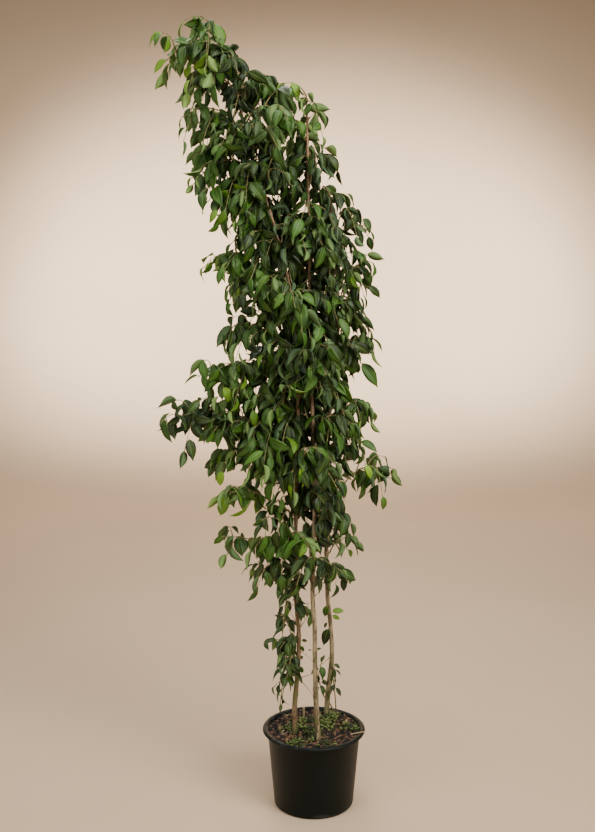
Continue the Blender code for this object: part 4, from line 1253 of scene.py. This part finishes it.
def leaf_forms():
    """Leaves that differ in curl, fold, ripple and twist."""
    draw = random.Random("leaf forms")
    forms = new_forms("leaf_forms")
    for i in range(LEAF_FORMS):
        form = LeafForm(curl=draw.uniform(*LEAF_CURL), fold=math.radians(draw.uniform(*LEAF_FOLD_DEG)),
                        ripple=draw.uniform(*LEAF_RIPPLE), phase=draw.uniform(0, 2 * math.pi),
                        twist=either_way(draw, LEAF_TWIST))
        name = f"leaf_form_{i:02d}"
        add_object(name, leaf_mesh(name, form), forms)
    return forms


def dropped(forms):
    """Removes the forms once they have been placed."""
    for obj in list(forms.objects):
        bpy.data.objects.remove(obj, do_unlink=True)
    bpy.data.collections.remove(forms)


class Chains:
    """Chains of edges and loose points, with the attributes that the trees read."""

    def __init__(self):
        self.points = []
        self.edges = []
        self.values = {name: [] for name in CHAIN_VALUES}

    def point(self, place, **values):
        self.points.append(place)
        for name, kind in CHAIN_VALUES.items():
            blank = (0.0, 0.0, 0.0) if kind == "FLOAT_VECTOR" else 0
            self.values[name].append(values.get(name, blank))

    def chain(self, places, radii, youth=None, tone=0.0):
        first = len(self.points)
        for place, radius, young in zip(places, radii, youth or [0.0] * len(places)):
            self.point(place, radius=radius, youth=young, tone=tone)
        self.edges += [(i, i + 1) for i in range(first, len(self.points) - 1)]

    def piece(self, name):
        """An object with these chains as its mesh."""
        mesh = bpy.data.meshes.new(name)
        mesh.from_pydata(self.points, self.edges, [])
        for key, kind in CHAIN_VALUES.items():
            made = mesh.attributes.new(key, kind, "POINT")
            if kind == "FLOAT_VECTOR":
                made.data.foreach_set("vector", [value for vector in self.values[key] for value in vector])
            else:
                made.data.foreach_set("value", self.values[key])
        return add_object(name, mesh)


def add_twig(chains, twig, youth):
    """The twig's wood: a collar where it leaves its parent, and a pointed bud at its end."""
    route = list(twig.route)
    radii = list(twig.radii)
    for i, (_, swell) in enumerate(COLLAR):
        radii[i] *= swell
    direction = (route[-1] - route[-2]).normalized()
    tip = radii[-1]
    for ahead, swell in BUD:
        route.append(twig.route[-1] + direction * ahead)
        radii.append(tip * swell)
    length = len(route) - 1
    chains.chain(route, radii, [youth[0] + youth[1] * i / length for i in range(len(route))])


def swayed(leaf, draw, scale):
    """The leaf at its own size, swung a little to one side and rolled about its midrib."""
    along = Matrix.Rotation(draw.gauss(0, LEAF_SWAY), 3, leaf.normal) @ leaf.along
    face = Matrix.Rotation(draw.gauss(0, LEAF_ROLL), 3, along) @ leaf.normal
    return leaf._replace(along=along, normal=face, length=leaf.length * scale, width=leaf.width * scale)


def add_leaf(chains, leaf, draw, light):
    """The leaf's petiole, which runs into the midrib, and the point that carries its blade."""
    neck = leaf.root + leaf.petiole * PETIOLE
    inside = neck + leaf.along * leaf.length * 0.07 - leaf.normal * 0.0005
    bow = leaf.root + leaf.petiole * PETIOLE * 0.55 + UP * PETIOLE_BOW
    chains.chain([leaf.root, bow, neck - leaf.normal * 0.0002, inside], PETIOLE_RADIUS, PETIOLE_YOUTH)
    chains.point(neck, is_leaf=True, form=draw.randrange(LEAF_FORMS), along=tuple(leaf.along),
                 face=tuple(leaf.normal), size=(leaf.width, leaf.length, leaf.length),
                 tone=min(1.0, max(0.0, light)))


def painted_shade_near_stems(place):
    """Painted shade: leaves are darker the nearer they grow to a stem."""
    distance = min((place - stem_place(stem, place.z)[0]).xy.length for stem in STEMS)
    return PAINTED_STEM_SHADE * max(0.0, 1 - distance / PAINTED_STEM_SHADE_DEPTH)


def leafy_piece(name, twigs):
    """The chains of one spray or sucker."""
    draw = random.Random(name + " tones")
    chains = Chains()
    spray_tone = USUAL_TONE + SPRAY_TONES.get(name, draw.uniform(*SPRAY_TONE_RANGE))
    # Inner sprays get painted shade in their colour
    if name.startswith("inner"):
        spray_tone += PAINTED_INNER_SHADE
    for k, twig in enumerate(twigs):
        # Twigs close to a stem get painted shade in their colour
        twig_tone = spray_tone + painted_shade_near_stems(twig.route[-1]) + draw.gauss(0, TWIG_TONE_SPREAD)
        scale = draw.uniform(*TWIG_LEAF_SCALE)
        add_twig(chains, twig, SIDE_YOUTH if k else MAIN_YOUTH)
        for i, leaf in enumerate(twig.leaves):
            young = TIP_TONE * (i / max(1, len(twig.leaves) - 1)) ** 2
            tone = twig_tone + young + draw.gauss(0, LEAF_TONE_SPREAD)
            tone += FLUSH_TONE if draw.random() < FLUSH_SHARE else 0.0
            leaf = swayed(leaf, draw, scale * draw.uniform(*OWN_LEAF_SCALE))
            if in_bounds(leaf):
                add_leaf(chains, leaf, draw, tone)
    return chains.piece("foliage_" + name.replace("spray_", ""))


def gathered(growth):
    """The twigs of each piece: a spray or sucker has one of its own, and some inner sprays share one."""
    groups = {}
    for name, twigs in growth.items():
        if name.startswith("inner"):
            _, stem, number = name.split("_")
            name = f"inner_{stem}_{int(number) % INNER_PIECES}"
        elif name.startswith("fill"):
            name = "between_boughs"
        groups.setdefault(name, []).extend(twigs)
    return groups


def low_shoots():
    """The bare shoots and small leaves low on the stems."""
    draw = random.Random("low shoots")
    chains = Chains()
    for points in SHOOTS:
        route = smooth_route(points, SHOOT_STEPS)
        add_twig(chains, Twig(route, tapered(SHOOT_RADIUS, len(route)), []), MAIN_YOUTH)
    for root, tip, tone in STRAY_LEAVES:
        root, tip = Vector(root), Vector(tip)
        along = (tip - root).normalized()
        normal = square_to(along, Vector((either_way(draw, 0.3), -0.7, 0.5)))
        length = (tip - root).length - PETIOLE
        add_leaf(chains, Leaf(root, along, along, normal, length, length * LEAF_WIDTH_SHARE), draw, tone)
    return chains.piece("low_shoots")


def fallen_leaves():
    """The leaves that lie on the soil, face up or face down, as the table places them."""
    draw = random.Random("fallen leaves")
    chains = Chains()
    for x, y, azimuth, length, tone in FALLEN_LEAVES:
        along = (level(azimuth) + UP * draw.uniform(*FALLEN_TILT)).normalized()
        face = UP * draw.choice((1, 1, -1)) + level(azimuth + 90) * either_way(draw, FALLEN_LEAN)
        root = Vector((x, y, soil_height(x, y) + FALLEN_LIFT)) - along * length / 2
        width = length * FALLEN_WIDTH_SHARE
        add_leaf(chains, Leaf(root, along, along, square_to(along, face), length, width), draw, tone)
    return chains.piece("fallen_leaves")


def soil_sticks():
    """The dry sticks on the soil, whose ends may lie on the pot's rim."""
    draw = random.Random("sticks")
    chains = Chains()
    for x, y, azimuth, length, thickness, tone in STICKS:
        half = level(azimuth) * length / 2
        ends = [Vector((x, y, 0.0)) - half, Vector((x, y, 0.0)) + half]
        for end in ends:
            on_rim = POT_HEIGHT if end.xy.length > wall_radius(POT_HEIGHT) - POT_WALL else 0.0
            end.z = max(on_rim, soil_height(end.x, end.y)) + thickness * 1.5
        middle = ends[0].lerp(ends[1], 0.5) + level(azimuth + 90) * either_way(draw, STICK_BOW) * length
        middle += UP * draw.uniform(*STICK_RISE)
        route = smooth_route([ends[0], middle, ends[1]], STICK_STEPS)
        chains.chain(route, [thickness * draw.uniform(*STICK_UNEVEN) for _ in route], tone=tone)
    return chains.piece("dry_sticks")


def make_foliage(sprays, wood, blade, fallen):
    """One piece for each spray and sucker, in the place of its solid, and a few for what it leaves out."""
    forms = leaf_forms()
    tree = leafy_tree()
    pieces = {name: leafy_piece(name, twigs) for name, twigs in gathered(grown(sprays)).items()}
    pieces["stray"] = low_shoots()
    pieces["stray fallen"] = fallen_leaves()
    for name, piece in pieces.items():
        use_tree(piece, tree, leaf_forms=forms, wood=wood, blade=fallen if name == "stray fallen" else blade)
    settled(pieces.values())
    dropped(forms)
    for name, piece in pieces.items():
        nodes = () if name.startswith(("inner", "between", "stray")) else (name,)
        finished(piece, "leaf", *nodes)


# Stems


def stem_radii(stem, route, roots):
    """The stem's radius at each point: flared at the soil, and swollen where a spray leaves it."""
    draw = random.Random(stem + " knots")
    knots = [(draw.uniform(*KNOT_HEIGHTS), draw.uniform(*KNOT_SWELL)) for _ in range(KNOTS)]
    radii = []
    for point in route:
        radius = stem_radius(stem, point.z)
        radius *= 1 + SOIL_FLARE * math.exp(-max(0.0, point.z - SOIL_FLARE_HEIGHT) / SOIL_FLARE_LENGTH)
        radius *= 1 + FOOT_SWELL[stem] * bell(max(0.0, point.z - FOOT_SWELL_HEIGHT), FOOT_SWELL_LENGTH)
        for height, swell in knots:
            radius *= 1 + swell * bell(point.z - height, KNOT_LENGTH)
        for height in roots:
            radius *= 1 + SPRAY_SWELL * bell(point.z - height, SPRAY_SWELL_LENGTH)
        radii.append(radius)
    return radii


def make_stems(sprays, bark):
    """The three stems and the cut stub."""
    tree = woody_tree()
    pieces = {}
    for stem, points in STEMS.items():
        route = smooth_route(points, STEM_STEPS)
        roots = [stem_place(s.stem, s.height)[0].z for s in sprays if s.stem == stem]
        chains = Chains()
        chains.chain(route, stem_radii(stem, route, roots))
        pieces[f"stem_{stem}"] = chains.piece(f"bark_stem_{stem}")
    low, high = (Vector(p) for p in STUB)
    chains = Chains()
    route = [low.lerp(high, i / STUB_STEPS) for i in range(STUB_STEPS + 1)]
    chains.chain(route, [STUB_RADIUS] * len(route))
    pieces["stub"] = chains.piece("bark_stub")
    for piece in pieces.values():
        use_tree(piece, tree, bark=bark)
    settled(pieces.values())
    for name, piece in pieces.items():
        finished(piece, "bark", name)


# Pot and soil


def arc(centre, radius, start_deg, end_deg, steps, height=None):
    """Points of an arc in the half section's plane, both ends included: round, or of another height."""
    for i in range(steps + 1):
        angle = math.radians(start_deg + (end_deg - start_deg) * i / steps)
        yield centre[0] + radius * math.cos(angle), centre[1] + (height or radius) * math.sin(angle)


def wall_radius(height):
    """Outer radius of the pot's tapered wall."""
    return POT_BASE_RADIUS + (POT_NECK_RADIUS - POT_BASE_RADIUS) * height / (POT_HEIGHT - POT_LIP_DEPTH)


def pot_profile():
    """From the inner floor's middle, up the inside, over the rolled lip and down the outside."""
    lip_foot = POT_HEIGHT - POT_LIP_DEPTH
    bend = (POT_LIP_RADIUS - POT_NECK_RADIUS + POT_WALL) / 2
    middle = (POT_LIP_RADIUS - bend, POT_HEIGHT - POT_LIP_CROWN)
    points = [(0.0, POT_FLOOR), (wall_radius(POT_FLOOR) - POT_WALL, POT_FLOOR)]
    points += arc(middle, bend, 180, 0, 20, POT_LIP_CROWN)
    points += [(POT_LIP_RADIUS, lip_foot + POT_LIP_EDGE[1]), (POT_LIP_RADIUS - POT_LIP_EDGE[0], lip_foot),
               (POT_LIP_RADIUS - POT_WALL, lip_foot)]
    points += arc(middle, bend - POT_WALL, 0, 180, 10, POT_LIP_CROWN - POT_WALL)
    corner = (wall_radius(POT_CORNER_RADIUS) - POT_CORNER_RADIUS, POT_CORNER_RADIUS)
    points += arc(corner, POT_CORNER_RADIUS, 0, -90, 8)
    points.append((0.0, 0.0))
    return points


def turned(name, profile, sides):
    """A closed solid of revolution from a half section of (radius, height) points, as a plain mesh."""
    mesh = bpy.data.meshes.new(name)
    mesh.from_pydata([(r, 0.0, z) for r, z in profile], [(i, i + 1) for i in range(len(profile) - 1)], [])
    obj = add_object(name, mesh)
    screw = obj.modifiers.new("turn", "SCREW")
    screw.steps = sides
    screw.render_steps = sides
    screw.use_merge_vertices = True
    screw.merge_threshold = 0.00001
    settled([obj])
    bm = bmesh.new()
    bm.from_mesh(obj.data)
    bmesh.ops.remove_doubles(bm, verts=bm.verts, dist=1e-6)
    bmesh.ops.recalc_face_normals(bm, faces=bm.faces)
    bm.to_mesh(obj.data)
    bm.free()
    return obj


def make_pot(plastic):
    """The thin tapered pot with its rolled lip and drain holes."""
    pot = turned("nursery_pot", pot_profile(), POT_SIDES)
    holes = new_forms("drain_holes")
    for i in range(DRAIN_HOLES):
        bm = bmesh.new()
        place = Matrix.Translation(level(360 * i / DRAIN_HOLES) * DRAIN_CIRCLE_RADIUS)
        bmesh.ops.create_cone(bm, cap_ends=True, segments=DRAIN_HOLE_SIDES, radius1=DRAIN_HOLE_RADIUS,
                              radius2=DRAIN_HOLE_RADIUS, depth=POT_FLOOR * 4, matrix=place)
        from_bmesh(bm, f"drain_hole_{i}", holes)
    cut = pot.modifiers.new("drain holes", "BOOLEAN")
    cut.operand_type = "COLLECTION"
    cut.collection = holes
    settled([pot])
    dropped(holes)
    pot.data.materials.clear()
    pot.data.materials.append(plastic)
    pot.data.shade_smooth()
    pot.data.set_sharp_from_angle(angle=math.radians(POT_SHARP_DEG))
    finished(pot, "pot", "pot")


def soil_relief(x, y):
    """How far the soil's surface rises above its edge."""
    share = min(1.0, math.hypot(x, y) / (wall_radius(SOIL_EDGE_HEIGHT) - POT_WALL))
    height = SOIL_DOME * (1 - share * share)
    for mound_x, mound_y, radius, rise in SOIL_MOUNDS:
        away = math.hypot(x - mound_x, y - mound_y) / radius
        height += rise * math.exp(-away * away)
    ripple = math.sin(SOIL_RIPPLE_PITCH[0] * x + 1.0) * math.cos(SOIL_RIPPLE_PITCH[1] * y)
    return height + SOIL_RIPPLE * ripple * (1 - share)


def soil_height(x, y):
    return SOIL_EDGE_HEIGHT + soil_relief(x, y)


def green_cover(x, y):
    """How thickly moss and seedlings cover the soil at a place, from 0 to 1."""
    cover = 0.0
    for patch_x, patch_y, radius, thickness in GREEN_PATCHES:
        away = math.hypot(x - patch_x, y - patch_y) / radius
        cover = max(cover, thickness * math.exp(-away * away))
    return cover


def open_soil(x, y):
    return 1.0 - 0.6 * green_cover(x, y)


def make_soil(earth):
    """The root ball with its crumbly surface, which carries the moss and the litter."""
    bottom = POT_FLOOR + SEAT_GAP
    inset = POT_WALL + SEAT_GAP
    edge = wall_radius(SOIL_EDGE_HEIGHT) - inset
    profile = [(edge * i / SOIL_RINGS, SOIL_EDGE_HEIGHT) for i in range(SOIL_RINGS + 1)]
    profile += [(wall_radius(bottom) - inset, bottom), (0.0, bottom)]
    soil = turned("potting_soil", profile, SOIL_SIDES)
    draw = random.Random("crumbs")
    cover = soil.data.attributes.new("cover", "FLOAT", "POINT")
    for vertex in soil.data.vertices:
        if vertex.co.z > bottom + SEAT_GAP:
            away = vertex.co.xy.length / edge
            vertex.co.z += soil_relief(vertex.co.x, vertex.co.y) * (1 if away < SOIL_RIM_SHARE else 0.6)
            vertex.co.z += either_way(draw, SOIL_CRUMB) * (0.4 + 0.6 * away)
            cover.data[vertex.index].value = green_cover(vertex.co.x, vertex.co.y)
    soil.data.materials.append(earth)
    soil.data.shade_smooth()
    return finished(soil, "soil", "soil")


def bark_chips():
    """Flakes of bark and crumbs of compost: small rounded lumps of a few dozen faces."""
    forms = new_forms("chip_forms")
    for i, squash in enumerate(CHIP_FORMS):
        name = f"chip_form_{i}"
        draw = random.Random(f"{name} {i}")
        bm = bmesh.new()
        bmesh.ops.create_uvsphere(bm, u_segments=6, v_segments=4, radius=CHIP_SIZE)
        for vertex in bm.verts:
            vertex.co = Vector([c * share for c, share in zip(vertex.co, squash)])
            vertex.co *= draw.uniform(0.75, 1.2)
        from_bmesh(bm, name, forms)
    return forms


def tuft(name, forms, blades, height, width, splay):
    """A tuft of little pointed leaves from one root, each a folded blade of a few faces."""
    draw = random.Random(name)
    bm = bmesh.new()
    for i in range(blades):
        azimuth = 2 * math.pi * (i + either_way(draw, 0.3)) / blades
        out = Vector((math.cos(azimuth), math.sin(azimuth), 0.0))
        side = UP.cross(out)
        tall = height * draw.uniform(0.7, 1.2)
        reach = splay * tall * draw.uniform(0.6, 1.3)
        root = bm.verts.new(out * 0.0002)
        middle = out * reach * 0.5 + UP * tall * 0.75
        left = bm.verts.new(middle + side * width)
        right = bm.verts.new(middle - side * width)
        ridge = bm.verts.new(middle + UP * width * 0.4 - out * width * 0.2)
        keel = bm.verts.new(middle - UP * width * 0.35 + out * width * 0.1)
        tip = bm.verts.new(out * reach + UP * tall)
        for a, b in ((left, ridge), (ridge, right), (right, keel), (keel, left)):
            bm.faces.new((root, b, a))
            bm.faces.new((tip, a, b))
    bmesh.ops.recalc_face_normals(bm, faces=bm.faces)
    from_bmesh(bm, name, forms)


def moss_forms():
    forms = new_forms("moss_forms")
    for i in range(MOSS_FORMS):
        tuft(f"moss_form_{i}", forms, blades=6, height=0.0050, width=0.0007, splay=0.9)
    return forms


def seedling_forms():
    forms = new_forms("seedling_forms")
    for i in range(SEEDLING_FORMS):
        tuft(f"seedling_form_{i}", forms, blades=3 + i % 3, height=0.008 + 0.002 * (i % 2),
             width=0.0026 + 0.0003 * (i % 4), splay=1.2 + 0.3 * (i % 3))
    return forms


def soil_copy(soil, name, cover):
    """The soil's upper surface as a carrier for what is strewn on it, as thick as cover(x, y) says."""
    bm = bmesh.new()
    bm.from_mesh(soil.data)
    low = [f for f in bm.faces if f.calc_center_median().z < SOIL_EDGE_HEIGHT - 0.01 or f.normal.z < 0.3]
    bmesh.ops.delete(bm, geom=low, context="FACES")
    carrier = from_bmesh(bm, name)
    mesh = carrier.data
    for vertex in mesh.vertices:
        mesh.attributes["cover"].data[vertex.index].value = cover(vertex.co.x, vertex.co.y)
    return carrier


def make_ground_cover(soil):
    """Bark chips, moss and seedlings over the soil, and dry sticks."""
    tree = scatter_tree()
    browns = ((6, 5, 3), (10, 7, 5), (16, 11, 7), (26, 17, 10), (45, 29, 17), (112, 80, 54))
    chips = litter("bark_chips", browns)
    moss = litter("moss", ((15, 22, 9), (26, 35, 13), (43, 55, 18), (78, 94, 34)), 0.9)
    seedlings = litter("seedling_leaf", ((16, 27, 11), (28, 44, 16), (49, 70, 25), (106, 124, 50)), 0.5)
    rows = (
        ("bark_chip_litter", "soil", open_soil, bark_chips(), {
            "finish": chips, "density": 32000.0, "smallest": 0.35, "largest": 1.45,
            "lean": 0.7, "lift": 0.0008, "seed": 3}),
        ("moss_cover", "leaf", green_cover, moss_forms(), {
            "finish": moss, "density": 70000.0, "smallest": 0.6, "largest": 1.3,
            "lean": 0.35, "seed": 5}),
        ("seedlings", "leaf", green_cover, seedling_forms(), {
            "finish": seedlings, "density": 6200.0, "smallest": 0.5, "largest": 1.45,
            "lean": 0.3, "seed": 8}),
    )
    for name, slot, cover, forms, values in rows:
        piece = soil_copy(soil, name, cover)
        use_tree(piece, tree, forms=forms, **values)
        settled([piece])
        dropped(forms)
        finished(piece, slot)
    sticks = soil_sticks()
    dry_wood = litter("dry_stick", ((66, 44, 30), (120, 88, 60), (170, 136, 98), (204, 178, 138)))
    use_tree(sticks, woody_tree(), sides=STICK_SIDES, relief=STICK_RELIEF, bark=dry_wood)
    settled([sticks])
    finished(sticks, "soil")


# Studio


def lamp(name, kind, place, target, power, tint, **settings):
    """A lamp that looks at a point."""
    light = bpy.data.lights.new(name, kind)
    light.energy = power
    light.color = tint
    for key, value in settings.items():
        setattr(light, key, value)
    obj = add_object(name, light)
    obj.location = place
    obj.rotation_euler = (Vector(target) - Vector(place)).to_track_quat("-Z", "Y").to_euler()


def make_studio():
    """A pale floor that sweeps up into a backdrop, soft lights and the camera."""
    profile = [(SWEEP_FRONT, 0.0)]
    profile += arc((SWEEP_BACK - SWEEP_BEND, SWEEP_BEND), SWEEP_BEND, -90, 0, 16)
    profile.append((SWEEP_BACK, SWEEP_TOP))
    mesh = bpy.data.meshes.new("studio_sweep")
    points = [(x, y, z) for y, z in profile for x in (-SWEEP_HALF_WIDTH, SWEEP_HALF_WIDTH)]
    faces = [(2 * i, 2 * i + 1, 2 * i + 3, 2 * i + 2) for i in range(len(profile) - 1)]
    mesh.from_pydata(points, [], faces)
    mesh.materials.append(studio_paint())
    mesh.shade_smooth()
    add_object("studio_sweep", mesh)
    for name, (place, target, width, power, tint) in SOFT_LAMPS.items():
        lamp(name, "AREA", place, target, power, tint, size=width, spread=math.radians(SOFT_SPREAD_DEG))
    for name, place in WALL_LAMPS.items():
        lamp(name, "SPOT", place, WALL_TARGET, WALL_POWER, WALL_TINT, spot_size=math.radians(WALL_BEAM_DEG),
             spot_blend=1.0, shadow_soft_size=WALL_LAMP_RADIUS)
    world = bpy.data.worlds.new("studio_air")
    world.use_nodes = True
    fill(world.node_tree, world.node_tree.nodes["Background"], {"Color": AIR_TINT, "Strength": AIR_STRENGTH})
    bpy.context.scene.world = world
    camera = add_object("camera", bpy.data.cameras.new("camera"))
    camera.data.lens = LENS_MM
    camera.location = CAMERA_PLACE
    camera.rotation_euler = (math.radians(CAMERA_PITCH_DEG), 0.0, 0.0)
    bpy.context.scene.camera = camera


def main():
    sprays = plan_sprays()
    make_studio()
    make_pot(pot_plastic())
    soil = make_soil(potting_soil())
    make_ground_cover(soil)
    make_stems(sprays, stem_bark())
    make_foliage(sprays, twig_bark(), leaf_blade(), fallen_leaf())


main()
